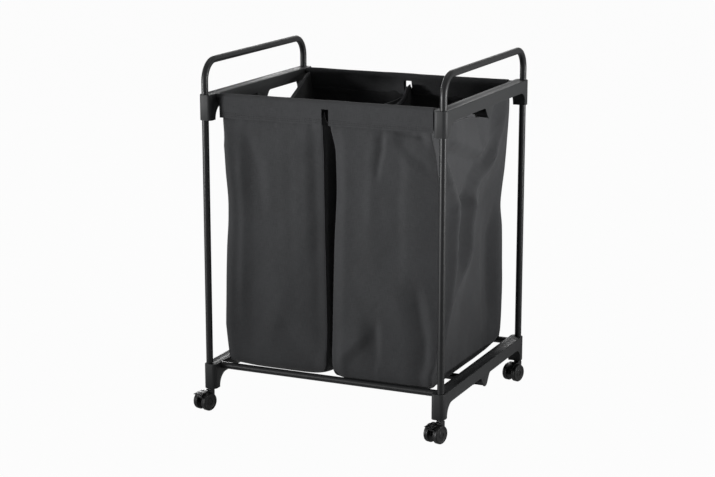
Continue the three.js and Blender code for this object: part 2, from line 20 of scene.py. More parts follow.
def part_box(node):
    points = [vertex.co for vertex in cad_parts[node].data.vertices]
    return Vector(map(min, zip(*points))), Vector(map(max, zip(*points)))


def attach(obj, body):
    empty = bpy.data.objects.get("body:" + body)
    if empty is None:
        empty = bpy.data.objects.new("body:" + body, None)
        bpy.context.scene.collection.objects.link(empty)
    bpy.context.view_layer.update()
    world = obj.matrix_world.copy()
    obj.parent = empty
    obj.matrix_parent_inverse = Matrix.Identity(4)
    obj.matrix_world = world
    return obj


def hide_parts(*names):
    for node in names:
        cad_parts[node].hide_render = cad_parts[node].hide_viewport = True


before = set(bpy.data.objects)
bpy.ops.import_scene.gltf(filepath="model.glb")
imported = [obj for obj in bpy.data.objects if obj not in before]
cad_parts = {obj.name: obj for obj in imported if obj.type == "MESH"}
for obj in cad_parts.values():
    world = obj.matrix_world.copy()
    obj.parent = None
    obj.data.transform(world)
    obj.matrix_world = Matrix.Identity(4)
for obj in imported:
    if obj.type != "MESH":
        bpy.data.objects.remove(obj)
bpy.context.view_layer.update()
MM = 0.001
SIDES = ("left", "right")
ENDS = ("front", "rear")
CORNERS = [f"{end}_{side}" for end in ENDS for side in SIDES]


# %% Measure the frame
def middle(node):
    low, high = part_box(node)
    return (low + high) / 2


POST_X = {side: middle(f"post_front_{side}").x for side in SIDES}
POST_Y = {end: middle(f"post_{end}_left").y for end in ENDS}
ROD_Y = {end: middle(f"upper_rod_{end}").y for end in ENDS}
CENTRE = Vector(((POST_X["left"] + POST_X["right"]) / 2, (POST_Y["front"] + POST_Y["rear"]) / 2, 0))
LOWER_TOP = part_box("lower_bracket_left")[1].z
UPPER_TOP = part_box("upper_bracket_left")[1].z
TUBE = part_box("post_front_left")[1].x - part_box("post_front_left")[0].x
print("posts at", POST_X, POST_Y, "bracket tops at", round(LOWER_TOP, 4), round(UPPER_TOP, 4))

# %% [markdown]
# ## Camera and studio
#
# A product photograph is taken from far away with a long lens, so that upright edges stay nearly
# parallel. The place and the turn of this camera were fitted to the corners of the frame. The
# room is one pale floor under large soft lamps: the camera sees the floor and the world as white,
# while the object is lit by their real, plainer light and still leaves a faint shadow.


# %% Camera
def added(name, data):
    """Puts a new object into the scene."""
    thing = bpy.data.objects.new(name, data)
    bpy.context.scene.collection.objects.link(thing)
    return thing


LOOKS_DOWN = math.radians(12.962)
TURNED_LEFT = math.radians(24.204)
camera_data = bpy.data.cameras.new("Camera")
camera_data.sensor_width = 36
camera_data.lens = 95.13
camera = added("Camera", camera_data)
camera.location = (1.6732, -3.7521, 1.3091)
camera.rotation_euler = (math.pi / 2 - LOOKS_DOWN, 0, TURNED_LEFT)
bpy.context.scene.camera = camera
bpy.context.scene.view_settings.view_transform = "Standard"


# %% Helpers that add shader or geometry nodes and wire them up
def wire(tree, value, socket):
    """Feeds a socket from a plain value, an output, or the first output of a node."""
    if isinstance(value, bpy.types.Node):
        value = value.outputs[0]
    if isinstance(value, bpy.types.NodeSocket):
        tree.links.new(value, socket)
    else:
        socket.default_value = value


def node(tree, kind, inputs=None, **settings):
    """inputs is {socket name or number: what feeds it}."""
    made = tree.nodes.new(kind)
    for name, value in settings.items():
        setattr(made, name, value)
    for name, value in (inputs or {}).items():
        wire(tree, value, made.inputs[name])
    return made


def maths(tree, operation, *values):
    return node(tree, "ShaderNodeMath", dict(enumerate(values)), operation=operation)


# %% Floor and world
SKY_STRENGTH = 0.08
FLOOR_GREY = 0.42
FLOOR_HALF = 60


def white_for_camera(tree, lit, output, share, mirrored):
    """Mixes plain white into what the camera sees, and some into what surfaces reflect."""
    ray = node(tree, "ShaderNodeLightPath").outputs
    reflected = maths(tree, "MAXIMUM", ray["Is Glossy Ray"], ray["Is Transmission Ray"])
    reflected = maths(tree, "MULTIPLY", reflected, mirrored)
    part = maths(tree, "MULTIPLY_ADD", ray["Is Camera Ray"], share, reflected)
    kind = "ShaderNodeBackground" if output.bl_idname.endswith("World") else "ShaderNodeEmission"
    white = node(tree, kind, {"Color": (1, 1, 1, 1), "Strength": 1.0})
    mix = node(tree, "ShaderNodeMixShader", {0: part, 1: lit, 2: white})
    wire(tree, mix, output.inputs["Surface"])


world = bpy.data.worlds.new("Studio")
world.use_nodes = True
bpy.context.scene.world = world
sky = world.node_tree.nodes["Background"]
sky.inputs["Color"].default_value = (0.97, 0.98, 1.0, 1)
sky.inputs["Strength"].default_value = SKY_STRENGTH
white_for_camera(world.node_tree, sky, world.node_tree.nodes["World Output"], 1.0, 0.4)

floor_mesh = bpy.data.meshes.new("Floor")
floor_corners = [(x * FLOOR_HALF, y * FLOOR_HALF, 0)
                 for x, y in ((-1, -1), (1, -1), (1, 1), (-1, 1))]
floor_mesh.from_pydata(floor_corners, [], [(0, 1, 2, 3)])
added("Floor", floor_mesh)
pale = bpy.data.materials.new("Pale floor")
pale.use_nodes = True
plain = pale.node_tree.nodes["Principled BSDF"]
plain.inputs["Base Color"].default_value = (FLOOR_GREY, FLOOR_GREY, FLOOR_GREY, 1)
plain.inputs["Roughness"].default_value = 0.9
white_for_camera(pale.node_tree, plain, pale.node_tree.nodes["Material Output"], 0.97, 0.3)
floor_mesh.materials.append(pale)

# %% Lamps
# Name, place, width and height, watts, the point it faces, and its spread in degrees
for name, place, size, power, aim, angle in (
        ("Key", (3.2, 0.3, 0.62), (1.0, 0.5), 4.7, (0.1, -0.18, 0.70), 34),
        ("Front", (-2.2, -2.6, 0.56), (1.2, 0.5), 7.8, (0.65, -0.15, 0.70), 40),
        ("Rear", (-1.9, 2.9, 0.55), (1.2, 0.6), 3.2, (0, 0, 0.5), 50),
        ("Top", (0.2, 0.2, 3.4), (1.2, 1.2), 7, (0, 0, 0.4), 180),
        ("Back", (-1.7, 3.6, 1.75), (2.4, 1.1), 20, (0, 0, 0.7), 180)):
    lamp = bpy.data.lights.new(name, "AREA")
    lamp.shape = "RECTANGLE"
    lamp.size, lamp.size_y = size
    lamp.energy = power
    lamp.spread = math.radians(angle)
    holder = added(name, lamp)
    holder.location = place
    holder.rotation_euler = (Vector(aim) - Vector(place)).to_track_quat("-Z", "Y").to_euler()
print("lamps", [lamp.name for lamp in bpy.data.lights])

# %% [markdown]
# ## Materials
#
# Nothing on a real product is one flat colour. Each finish below starts from the colour that it
# has in plain light and adds what the eye expects at its own scale: the weave and the slubs of the
# cloth, the fine orange peel of powder coat, the spark-eroded grain of moulded plastic, and the
# turning marks of plated steel. Constant values sit on the shader itself, so that every renderer
# finds them there.


# %% Parts that several materials share
def new_finish(name, colour, roughness, metallic=0.0, specular=0.5):
    material = bpy.data.materials.new(name)
    material.use_nodes = True
    shader = material.node_tree.nodes["Principled BSDF"]
    for socket, value in (("Base Color", (*colour, 1)), ("Roughness", roughness),
                          ("Metallic", metallic), ("Specular IOR Level", specular)):
        shader.inputs[socket].default_value = value
    return material, material.node_tree, shader


def grain(tree, scale, detail=3.0, stretch=(1, 1, 1), source="Object"):
    """Noise, scale in lumps per metre, optionally stretched along an axis."""
    where = node(tree, "ShaderNodeTexCoord")
    sized = node(tree, "ShaderNodeMapping", {"Vector": where.outputs[source], "Scale": stretch})
    return node(tree, "ShaderNodeTexNoise",
                {"Vector": sized, "Scale": scale, "Detail": detail}).outputs["Fac"]


def spread(tree, value, low, high, start=0.3, end=0.7):
    """Maps start..end of a pattern to low..high."""
    return node(tree, "ShaderNodeMapRange", {"Value": value, "From Min": start, "From Max": end,
                "To Min": low, "To Max": high})


def tint(tree, shader, colour, value, amount):
    """Makes the colour lighter and darker by amount, as a pattern says."""
    level = spread(tree, value, 1 - amount, 1 + amount)
    grey = node(tree, "ShaderNodeCombineColor", {0: level, 1: level, 2: level})
    mix = node(tree, "ShaderNodeMix", {0: 1.0, 6: (*colour, 1), 7: grey}, data_type="RGBA",
               blend_type="MULTIPLY")
    wire(tree, mix.outputs[2], shader.inputs["Base Color"])


def vary_roughness(tree, shader, value, roughness, by):
    wire(tree, spread(tree, value, roughness - by, roughness + by), shader.inputs["Roughness"])


def bump(tree, shader, height, strength, distance, under=None):
    inputs = {"Height": height, "Strength": strength, "Distance": distance}
    if under is not None:
        inputs["Normal"] = under
    made = node(tree, "ShaderNodeBump", inputs)
    wire(tree, made, shader.inputs["Normal"])
    return made


# %% [markdown]
# ### Cloth
#
# The bags are dense polyester canvas. The weave follows the cloth and not the room, so it reads
# the piece's own UV map, which is laid out in metres. Two crossed waves make the over-and-under of
# a plain weave, long noise along each thread direction makes slubs, and slow noise lets the dye
# vary from place to place.


# %% Woven cloth
SLUBS_PER_METRE = (1400, 60, 1)


def woven(name, colour, pitch, roughness=0.86):
    material, tree, shader = new_finish(name, colour, roughness, specular=0.3)
    shader.inputs["Sheen Weight"].default_value = 0.12
    shader.inputs["Sheen Roughness"].default_value = 0.5
    uv = node(tree, "ShaderNodeTexCoord").outputs["UV"]
    parts = node(tree, "ShaderNodeSeparateXYZ", {0: uv}).outputs
    over, under = (maths(tree, "SINE", maths(tree, "MULTIPLY", part, 2 * math.pi / pitch))
                   for part in (parts[0], parts[1]))
    weave = maths(tree, "MULTIPLY", over, under)
    warp = grain(tree, 1.0, 2.0, SLUBS_PER_METRE, "UV")
    weft = grain(tree, 1.0, 2.0, (SLUBS_PER_METRE[1], SLUBS_PER_METRE[0], 1), "UV")
    slubs = maths(tree, "ADD", warp, weft)
    dye = grain(tree, 9, 4.0)
    uneven = maths(tree, "ADD", spread(tree, slubs, -0.25, 0.25, 0.7, 1.3), dye)
    tint(tree, shader, colour, uneven, 0.16)
    threads = bump(tree, shader, weave, 0.35, 0.12 * MM)
    bump(tree, shader, slubs, 0.30, 0.25 * MM, threads)
    vary_roughness(tree, shader, dye, roughness, 0.05)
    return material


THREAD_COLOUR = (0.012, 0.012, 0.013)
CLOTH = woven("Bag cloth", (0.0450, 0.0460, 0.0484), 1.1 * MM)
TAPE = woven("Edge tape", (0.060, 0.061, 0.064), 0.8 * MM, 0.8)
THREAD, tree, shader = new_finish("Sewing thread", THREAD_COLOUR, 0.6)
tint(tree, shader, THREAD_COLOUR, grain(tree, 2500, 2.0), 0.25)
bump(tree, shader, grain(tree, 4000, 2.0), 0.4, 0.1 * MM)

# %% [markdown]
# ### Powder coat, moulded plastic and plated steel
#
# Powder coat flows before it sets, which leaves a shallow orange peel. A moulded part copies the
# grain of its mould. The stems are zinc plated, so they reflect, with faint rings from turning;
# their zinc is darker than its plain colour, as painted shade for the stems under the bracket legs.


# %% Paint, plastics and steel
def peeled(name, colour, roughness):
    material, tree, shader = new_finish(name, colour, roughness, specular=0.4)
    tint(tree, shader, colour, grain(tree, 25, 3.0), 0.10)
    vary_roughness(tree, shader, grain(tree, 60, 3.0), roughness, 0.06)
    bump(tree, shader, grain(tree, 700, 2.0), 0.22, 0.15 * MM)
    return material


def moulded(name, colour, roughness, coarse=2600, specular=0.4):
    material, tree, shader = new_finish(name, colour, roughness, specular=specular)
    flow = grain(tree, 14, 4.0, (1, 0.35, 1))
    tint(tree, shader, colour, flow, 0.12)
    vary_roughness(tree, shader, flow, roughness, 0.07)
    bump(tree, shader, grain(tree, coarse, 3.0), 0.35, 0.10 * MM)
    return material


PAINT = peeled("Powder coat", (0.0068, 0.0074, 0.0082), 0.44)
BRACKET = moulded("Bracket plastic", (0.0255, 0.0265, 0.0275), 0.56, specular=0.3)
NYLON = moulded("Caster nylon", (0.0075, 0.0075, 0.008), 0.38, 1800)
TREAD = moulded("Wheel tread", (0.007, 0.007, 0.0075), 0.46, 1200)

# Real zinc plating, darkened well below its plain colour: painted shade for the stems under the legs
ZINC_WITH_PAINTED_SHADE = (0.17, 0.17, 0.18)
STEEL_WITH_PAINTED_SHADE, tree, shader = new_finish("Zinc darkened as painted shade", ZINC_WITH_PAINTED_SHADE, 0.36, metallic=1.0)
tint(tree, shader, ZINC_WITH_PAINTED_SHADE, grain(tree, 120, 3.0), 0.12)
bump(tree, shader, grain(tree, 1.0, 2.0, (90, 90, 5000)), 0.25, 0.08 * MM)
print("materials", [material.name for material in bpy.data.materials])


# %% Small tools for meshes
def finished(name, mesh, material, body, nodes=(), sharp=38):
    """Names a mesh, smooths it below the sharp angle, and hangs it on its CAD body."""
    piece = added(name, mesh)
    if not mesh.materials:
        mesh.materials.append(material)
    mesh.polygons.foreach_set("use_smooth", [True] * len(mesh.polygons))
    mesh.set_sharp_from_angle(angle=math.radians(sharp))
    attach(piece, body)
    if nodes:
        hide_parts(*nodes)


def made_plain(source):
    """The evaluated mesh of a scratch object, which is then removed."""
    bpy.context.view_layer.update()
    graph = bpy.context.evaluated_depsgraph_get()
    mesh = bpy.data.meshes.new_from_object(source.evaluated_get(graph))
    data = source.data
    bpy.data.objects.remove(source)
    kinds = bpy.data.curves if isinstance(data, bpy.types.Curve) else bpy.data.meshes
    kinds.remove(data)
    return mesh


def modified(mesh, *modifiers):
    """A mesh after some modifiers, each of them a kind and its settings."""
    holder = added("Modified", mesh)
    for kind, settings in modifiers:
        modifier = holder.modifiers.new(kind, kind)
        for name, value in settings.items():
            setattr(modifier, name, value)
    return made_plain(holder)


def opened(mesh):
    work = bmesh.new()
    work.from_mesh(mesh)
    return work


def written(work, mesh):
    """Writes a bmesh into a mesh and frees it."""
    work.to_mesh(mesh)
    work.free()
    return mesh


def steps_along(points):
    """The distance of each point from the first one, along the line through them."""
    gaps = np.linalg.norm(np.diff(points, axis=0), axis=1)
    return np.concatenate([[0], np.cumsum(gaps)])


# %% [markdown]
# ## Tubes
#
# Posts, rods and handles are the same steel tube, so one Geometry Nodes tree makes them all. It
# takes a route with sharp corners, rounds the corners to the bending radius and sweeps an outer
# and an inner circle along it. A bent tube keeps its round section this way, which a bevelled
# curve would also give, but without the wall. Flat rims then close its two ends.


# %% The tree for a tube along a route
def new_tree(name, inputs):
    tree = bpy.data.node_groups.new(name, "GeometryNodeTree")
    face = tree.interface
    face.new_socket("Geometry", in_out="INPUT", socket_type="NodeSocketGeometry")
    face.new_socket("Geometry", in_out="OUTPUT", socket_type="NodeSocketGeometry")
    for label, kind in inputs:
        face.new_socket(label, in_out="INPUT", socket_type="NodeSocket" + kind)
    return tree, node(tree, "NodeGroupInput").outputs, node(tree, "NodeGroupOutput").inputs


def grow(name, source, tree, values):
    """Runs a tree on a scratch object and returns the mesh, with nothing live left on it."""
    modifier = source.modifiers.new(name, "NODES")
    modifier.node_group = tree
    for item in tree.interface.items_tree:
        if item.in_out == "INPUT" and item.name in values:
            modifier[item.identifier] = values[item.name]
    return made_plain(source)


tube_tree, given, result = new_tree("Tube along a route", [
    ("Radius", "Float"), ("Wall", "Float"), ("Bend Radius", "Float"), ("Bend Steps", "Int"),
    ("Sides", "Int"), ("Material", "Material")])
bends = node(tube_tree, "GeometryNodeFilletCurve", {
    "Curve": given["Geometry"], "Radius": given["Bend Radius"], "Count": given["Bend Steps"],
    "Limit Radius": True}, mode="POLY")
outer = node(tube_tree, "GeometryNodeCurvePrimitiveCircle",
             {"Resolution": given["Sides"], "Radius": given["Radius"]})
bore = maths(tube_tree, "SUBTRACT", given["Radius"], given["Wall"])
inner = node(tube_tree, "GeometryNodeCurvePrimitiveCircle",
             {"Resolution": given["Sides"], "Radius": bore})
inward = node(tube_tree, "GeometryNodeReverseCurve", {"Curve": inner})
section = node(tube_tree, "GeometryNodeJoinGeometry")
for circle in (outer, inward):
    wire(tube_tree, circle, section.inputs[0])
skin = node(tube_tree, "GeometryNodeCurveToMesh",
            {"Curve": bends, "Profile Curve": section})
merged = node(tube_tree, "GeometryNodeMergeByDistance",
              {"Geometry": skin, "Distance": 0.01 * MM})
coated = node(tube_tree, "GeometryNodeSetMaterial",
              {"Geometry": merged, "Material": given["Material"]})
wire(tube_tree, node(tube_tree, "GeometryNodeRealizeInstances", {0: coated}), result[0])


# %% Make a tube and close its two rims
TUBE_WALL = 1 * MM
TUBE_SIDES = 32


def close_rims(mesh, starts_at):
    """Joins the outer and the inner skin with a flat ring at each end of a tube."""
    work = opened(mesh)
    loose = [edge for edge in work.edges if edge.is_boundary]
    first = [edge for edge in loose if (edge.verts[0].co - Vector(starts_at)).length < TUBE]
    last = [edge for edge in loose if edge not in first]
    for rim in (first, last):
        bmesh.ops.bridge_loops(work, edges=rim)
    bmesh.ops.recalc_face_normals(work, faces=work.faces)
    written(work, mesh)


def tube(name, route, replaced, bend=1 * MM, steps=1):
    curve = bpy.data.curves.new(name + " route", "CURVE")
    curve.dimensions = "3D"
    spline = curve.splines.new("POLY")
    spline.points.add(len(route) - 1)
    for point, place in zip(spline.points, route):
        point.co = (*place, 1)
    mesh = grow(name, added(name + " route", curve), tube_tree, {
        "Radius": TUBE / 2, "Wall": TUBE_WALL, "Bend Radius": bend, "Bend Steps": steps,
        "Sides": TUBE_SIDES, "Material": PAINT})
    close_rims(mesh, route[0])
    finished(name, mesh, PAINT, "frame", [replaced])


# %% Posts, rods and handles
HANDLE_BEND = 44 * MM
RODS = [f"{level}_rod_{end}" for level in ("upper", "lower") for end in ENDS] + ["lower_rod_middle"]

for post in [f"post_{corner}" for corner in CORNERS]:
    low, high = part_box(post)
    at = middle(post)
    tube(post.replace("post", "post_tube"), [(at.x, at.y, low.z), (at.x, at.y, high.z)], post)

for rod in RODS:
    low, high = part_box(rod)
    at = middle(rod)
    tube(f"tube_{rod}", [(low.x, at.y, at.z), (high.x, at.y, at.z)], rod)

for side in SIDES:
    low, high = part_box(f"handle_{side}")
    legs = [(POST_X[side], POST_Y[end]) for end in ENDS]
    route = [(*legs[0], low.z), (*legs[0], high.z - TUBE / 2), (*legs[1], high.z - TUBE / 2),
             (*legs[1], low.z)]
    tube(f"handle_tube_{side}", route, f"handle_{side}", HANDLE_BEND, steps=14)
print(len(CORNERS), "posts,", len(RODS), "rods and 2 handles")

# %% [markdown]
# ## End brackets
#
# The four brackets carry everything, and they are the most worked pieces: a long channel, open
# below, with a leg at each end, a tooth in the middle, ribs inside, and sockets for the tubes. A
# moulding is best made as the mould is cut: one solid block with rounded edges first, then
# everything that is cut away, then the ribs and sockets. Exact booleans do the cutting, and a small
# bevel over the finished shape gives every edge the radius that a mould has.

# %% Outlines with round corners
def arc(centre, radius, start, end, step=math.radians(7.5)):
    count = max(2, round(abs(end - start) / step))
    return [(centre[0] + radius * math.cos(start + (end - start) * i / count),
             centre[1] + radius * math.sin(start + (end - start) * i / count))
            for i in range(count + 1)]


def rounded(corners):
    """A closed outline through corners (x, y, radius)."""
    points = []
    for i, (x, y, radius) in enumerate(corners):
        if not radius:
            points.append((x, y))
            continue
        here = Vector((x, y))
        back = (Vector(corners[i - 1][:2]) - here).normalized()
        ahead = (Vector(corners[(i + 1) % len(corners)][:2]) - here).normalized()
        half = back.angle(ahead) / 2
        centre = here + (back + ahead).normalized() * (radius / math.sin(half))
        first = here + back * (radius / math.tan(half)) - centre
        start = math.atan2(first.y, first.x)
        turn = (math.pi - 2 * half) * (-1 if back.cross(ahead) > 0 else 1)
        points += arc(centre, radius, start, start + turn)
    return points


# %% Solid blocks and turned pieces
AXES = {"x": Matrix(((0, 0, 1), (1, 0, 0), (0, 1, 0))), "z": Matrix.Identity(3)}
EDGE_STEPS = 3


def block(outline, low, high, axis="z", edge=0.0):
    """A prism between two heights along an axis; edge rounds the rim at its high end."""
    work = bmesh.new()
    levels = [(low, 0.0)]
    for i in range(EDGE_STEPS + 1 if edge else 1):
        turn = math.pi / 2 * i / EDGE_STEPS
        levels.append((high - edge + edge * math.sin(turn), edge - edge * math.cos(turn)))
    count = len(outline)
    rings = []
    for height, inset in levels:
        ring = []
        for i, (x, y) in enumerate(outline):
            along = (Vector(outline[(i + 1) % count]) - Vector(outline[i - 1])).normalized()
            place = Vector((x - along.y * inset, y + along.x * inset, height))
            ring.append(work.verts.new(AXES[axis] @ place))
        rings.append(ring)
    for lower, upper in zip(rings, rings[1:]):
        for i in range(count):
            work.faces.new((lower[i], lower[(i + 1) % count], upper[(i + 1) % count], upper[i]))
    work.faces.new(list(reversed(rings[0])))
    work.faces.new(rings[-1])
    bmesh.ops.recalc_face_normals(work, faces=work.faces)
    return written(work, bpy.data.meshes.new("Block"))


def turned(profile, sides=32, axis="z"):
    """A solid of revolution about an axis, from (radius, height) points."""
    work = bmesh.new()
    turns = [2 * math.pi * i / sides for i in range(sides)]
    rings = []
    for radius, height in profile:
        around = turns if radius else [0]
        rings.append([work.verts.new(AXES[axis] @ Vector((
            radius * math.cos(turn), radius * math.sin(turn), height))) for turn in around])
    for lower, upper in zip(rings, rings[1:]):
        for i in range(sides):
            j = (i + 1) % sides
            corners = [lower[i % len(lower)], lower[j % len(lower)], upper[j % len(upper)],
                       upper[i % len(upper)]]
            kept = [v for k, v in enumerate(corners) if v not in corners[:k]]
            if len(kept) > 2:
                work.faces.new(kept)
    for ring in (rings[0], rings[-1]):
        if len(ring) > 1 and profile[0] != profile[-1]:
            work.faces.new(ring)
    bmesh.ops.remove_doubles(work, verts=work.verts, dist=1e-7)
    bmesh.ops.recalc_face_normals(work, faces=work.faces)
    return written(work, bpy.data.meshes.new("Turned"))


# %% Move, cut, soften and join meshes
def shifted(mesh, x=0.0, y=0.0, z=0.0):
    mesh.transform(Matrix.Translation((x, y, z)))
    return mesh


def cut(base, tools, operation="DIFFERENCE"):
    """Cuts each tool mesh out of the base mesh, or adds it, with an exact boolean."""
    others = [added("Tool", mesh) for mesh in tools]
    cuts = [("BOOLEAN", {"operation": operation, "solver": "EXACT", "object": other})
            for other in others]
    mesh = modified(base, *cuts)
    for other in others:
        data = other.data
        bpy.data.objects.remove(other)
        bpy.data.meshes.remove(data)
    return mesh


def softened(mesh, width, segments=2):
    """Flattens what a boolean left in pieces, then rounds every sharp edge."""
    work = opened(mesh)
    bmesh.ops.remove_doubles(work, verts=work.verts, dist=0.01 * MM)
    bmesh.ops.dissolve_limit(work, angle_limit=math.radians(0.5), verts=work.verts,
                             edges=work.edges, delimit=set())
    return modified(written(work, mesh), ("BEVEL", {
        "width": width, "segments": segments, "limit_method": "ANGLE",
        "angle_limit": math.radians(32), "use_clamp_overlap": True}))


def joined(meshes):
    """One mesh with the faces of several, which are then removed."""
    work = bmesh.new()
    for mesh in meshes:
        work.from_mesh(mesh)
        bpy.data.meshes.remove(mesh)
    return written(work, bpy.data.meshes.new("Joined"))


# %% Bracket sizes and outlines
HALF_Y = (POST_Y["rear"] - POST_Y["front"]) / 2
PAST_POST = 10.6 * MM
HALF_LENGTH = HALF_Y + PAST_POST
OUTER = -PAST_POST
INNER = 19 * MM
LEG = 56 * MM
BEAM = 25.7 * MM
TOOTH = 51 * MM
WALL = 2.6 * MM
TOP_SKIN = 3 * MM
TOP_EDGE = 1.4 * MM
RIB = 2 * MM
RIBS_PER_ARCH = 4
ARCH_Y = HALF_Y - 11.3 * MM
ARCH_RADIUS = LEG - BEAM - 1.5 * MM
TOOTH_TIP = 7.18 * MM
TOOTH_ROOT = 26.24 * MM
SOCKET = TUBE / 2 + 0.3 * MM
SOCKET_WALL = 2 * MM
SOCKET_DEPTH = 26 * MM
SOCKET_SIDES = 40
ROD_AT = (HALF_Y - 21.3 * MM, -7.5 * MM)
MIDDLE_ROD_Z = -38 * MM
SPIGOT = TUBE / 2 - 1.3 * MM
SPIGOT_FOOT = INNER - 9 * MM
SPIGOT_END = INNER + 24 * MM
SPIGOT_CHAMFER = 1.5 * MM
PAST = 1 * MM


def arch_outline():
    """What is cut from the side view between the legs and the tooth, with room below."""
    half = [(ARCH_Y, -LEG - 3 * PAST, 0), (ARCH_Y, -BEAM, ARCH_RADIUS),
            (TOOTH_ROOT, -BEAM, 12 * MM), (TOOTH_TIP, -TOOTH, 13 * MM)]
    return rounded(half + [(-y, z, radius) for y, z, radius in reversed(half)])


def plan_outline(inset):
    end = HALF_LENGTH - inset
    outer = (OUTER + inset, 10 * MM - inset)
    inner = (INNER - inset, 9 * MM - inset)
    return rounded([(x, sign * end, radius) for (x, radius), sign in (
        (outer, -1), (inner, -1), (inner, 1), (outer, 1))])


# %% Cut one bracket
def plate(thickness, low, y=0.0):
    """A wall across the channel, which ends halfway into both of its sides."""
    ends = (OUTER + WALL / 2, INNER - WALL / 2)
    half = thickness / 2
    outline = [(ends[0], -half), (ends[1], -half), (ends[1], half), (ends[0], half)]
    return shifted(block(outline, low, -TOP_SKIN / 2), y=y)


def bracket_mesh(middle_spigot):
    body = block(plan_outline(0), -LEG, 0, edge=TOP_EDGE)
    core = block(plan_outline(WALL), -LEG - PAST, -TOP_SKIN)
    arches = block(arch_outline(), OUTER - 5 * PAST, INNER + 5 * PAST, "x")
    shell = cut(body, [core, arches])
    inside = []
    holes = []
    end = ARCH_Y - WALL
    for sign in (-1, 1):
        for i in range(RIBS_PER_ARCH):
            y = sign * (TOOTH_ROOT + i * (end - TOOTH_ROOT) / RIBS_PER_ARCH)
            inside.append(plate(RIB, -BEAM + 0.4 * MM, y))
        inside.append(plate(WALL, -LEG + 0.1 * MM, sign * (end + WALL / 2)))
        post = sign * HALF_Y
        around = [(SOCKET + SOCKET_WALL, z) for z in (-LEG + 0.2 * MM, -1 * MM)]
        inside.append(shifted(turned(around, SOCKET_SIDES), y=post))
        for low, high in ((-SOCKET_DEPTH, 2 * PAST), (-LEG - 2 * PAST, -SOCKET_DEPTH - 3 * MM)):
            bore = [(SOCKET, low), (SOCKET, high)]
            holes.append(shifted(turned(bore, SOCKET_SIDES), y=post))
    inside.append(plate(RIB, -TOOTH + 1 * MM))
    boss = turned([(TUBE / 2, OUTER + WALL / 2), (TUBE / 2, INNER - WALL / 2)], TUBE_SIDES, "x")
    inside.append(shifted(boss, z=MIDDLE_ROD_Z))
    full = cut(shell, inside, "UNION")
    pieces = [softened(cut(full, holes), 0.45 * MM)]
    pegs = [(sign * ROD_AT[0], ROD_AT[1]) for sign in (-1, 1)]
    peg = [(0, SPIGOT_FOOT), (SPIGOT, SPIGOT_FOOT), (SPIGOT, SPIGOT_END - SPIGOT_CHAMFER),
           (SPIGOT - SPIGOT_CHAMFER, SPIGOT_END), (0, SPIGOT_END)]
    for y, z in pegs + ([(0, MIDDLE_ROD_Z)] if middle_spigot else []):
        pieces.append(shifted(turned(peg, TUBE_SIDES, "x"), y=y, z=z))
    return joined(pieces)


# %% Set the brackets in place
for level, top in (("upper", UPPER_TOP), ("lower", LOWER_TOP)):
    pattern = bracket_mesh(level == "lower")
    for side in SIDES:
        mesh = pattern.copy()
        if side == "right":
            mesh.transform(Matrix.Rotation(math.pi, 4, "Z"))
        shifted(mesh, POST_X[side], CENTRE.y, top)
        finished(f"{level}_bracket_moulding_{side}", mesh, BRACKET, "frame",
                 [f"{level}_bracket_{side}"], sharp=30)
    print(level, "bracket faces", len(pattern.polygons))
    bpy.data.meshes.remove(pattern)

# %% [markdown]
# ## Bags
#
# A hanging bag is neither a box nor a balloon. Its front and back hang straight from the rods, its
# sides have more cloth than they need and buckle inwards, its top edges sag, and its bottom rests
# on the middle rod. Cloth simulation can find such folds, but not the ones that this bag has, so
# each wall is a fine grid that is shaped one by one: a table gives its outline at every height, and
# another table names each fold by the line that it follows, its width and its height. A fold is a
# tent with soft flanks, as cloth makes when it is pulled at one corner.
#
# All places in these tables are in millimetres from the middle of the frame, with heights above
# the top of the lower brackets.


# %% Curves through a few measured points
def unit(value):
    """The value, kept between 0 and 1."""
    return np.clip(value, 0, 1)


def ease(value):
    """Goes from 0 to 1 with a soft start and a soft end."""
    t = unit(value)
    return t * t * (3 - 2 * t)


def smooth_line(points, at):
    """A smooth curve through (place, value) pairs, without overshoot."""
    x, y = (np.array(v, float) for v in zip(*points))
    slope = np.diff(y) / np.diff(x)
    tangent = np.concatenate([[slope[0]], np.where(slope[1:] * slope[:-1] > 0,
                              2 * slope[1:] * slope[:-1] / (slope[1:] + slope[:-1] + 1e-12), 0),
                              [slope[-1]]])
    at = np.clip(at, x[0], x[-1])
    i = np.clip(np.searchsorted(x, at) - 1, 0, len(x) - 2)
    width = x[i + 1] - x[i]
    t = (at - x[i]) / width
    return (y[i] * (2 * t**3 - 3 * t**2 + 1) + tangent[i] * width * (t**3 - 2 * t**2 + t)
            + y[i + 1] * (3 * t**2 - 2 * t**3) + tangent[i + 1] * width * (t**3 - t**2))


# %% Waves and folds
def waves(a, b, seed, size, rough=0.5, layers=3):
    """Smooth, seeded unevenness of about -1 to 1 over two coordinates in millimetres."""
    dice = np.random.default_rng(seed)
    total = np.zeros(np.broadcast(a, b).shape)
    weight = 0.0
    for layer in range(layers):
        level = rough**layer
        for _ in range(7):
            turn, phase = dice.uniform(0, 2 * math.pi, 2)
            pitch = size / 2**layer * dice.uniform(0.7, 1.5)
            total += level * np.sin((a * math.cos(turn) + b * math.sin(turn)) * 2 * math.pi / pitch
                                    + phase)
        weight += level * 2.2
    return np.clip(total / weight, -1.3, 1.3)


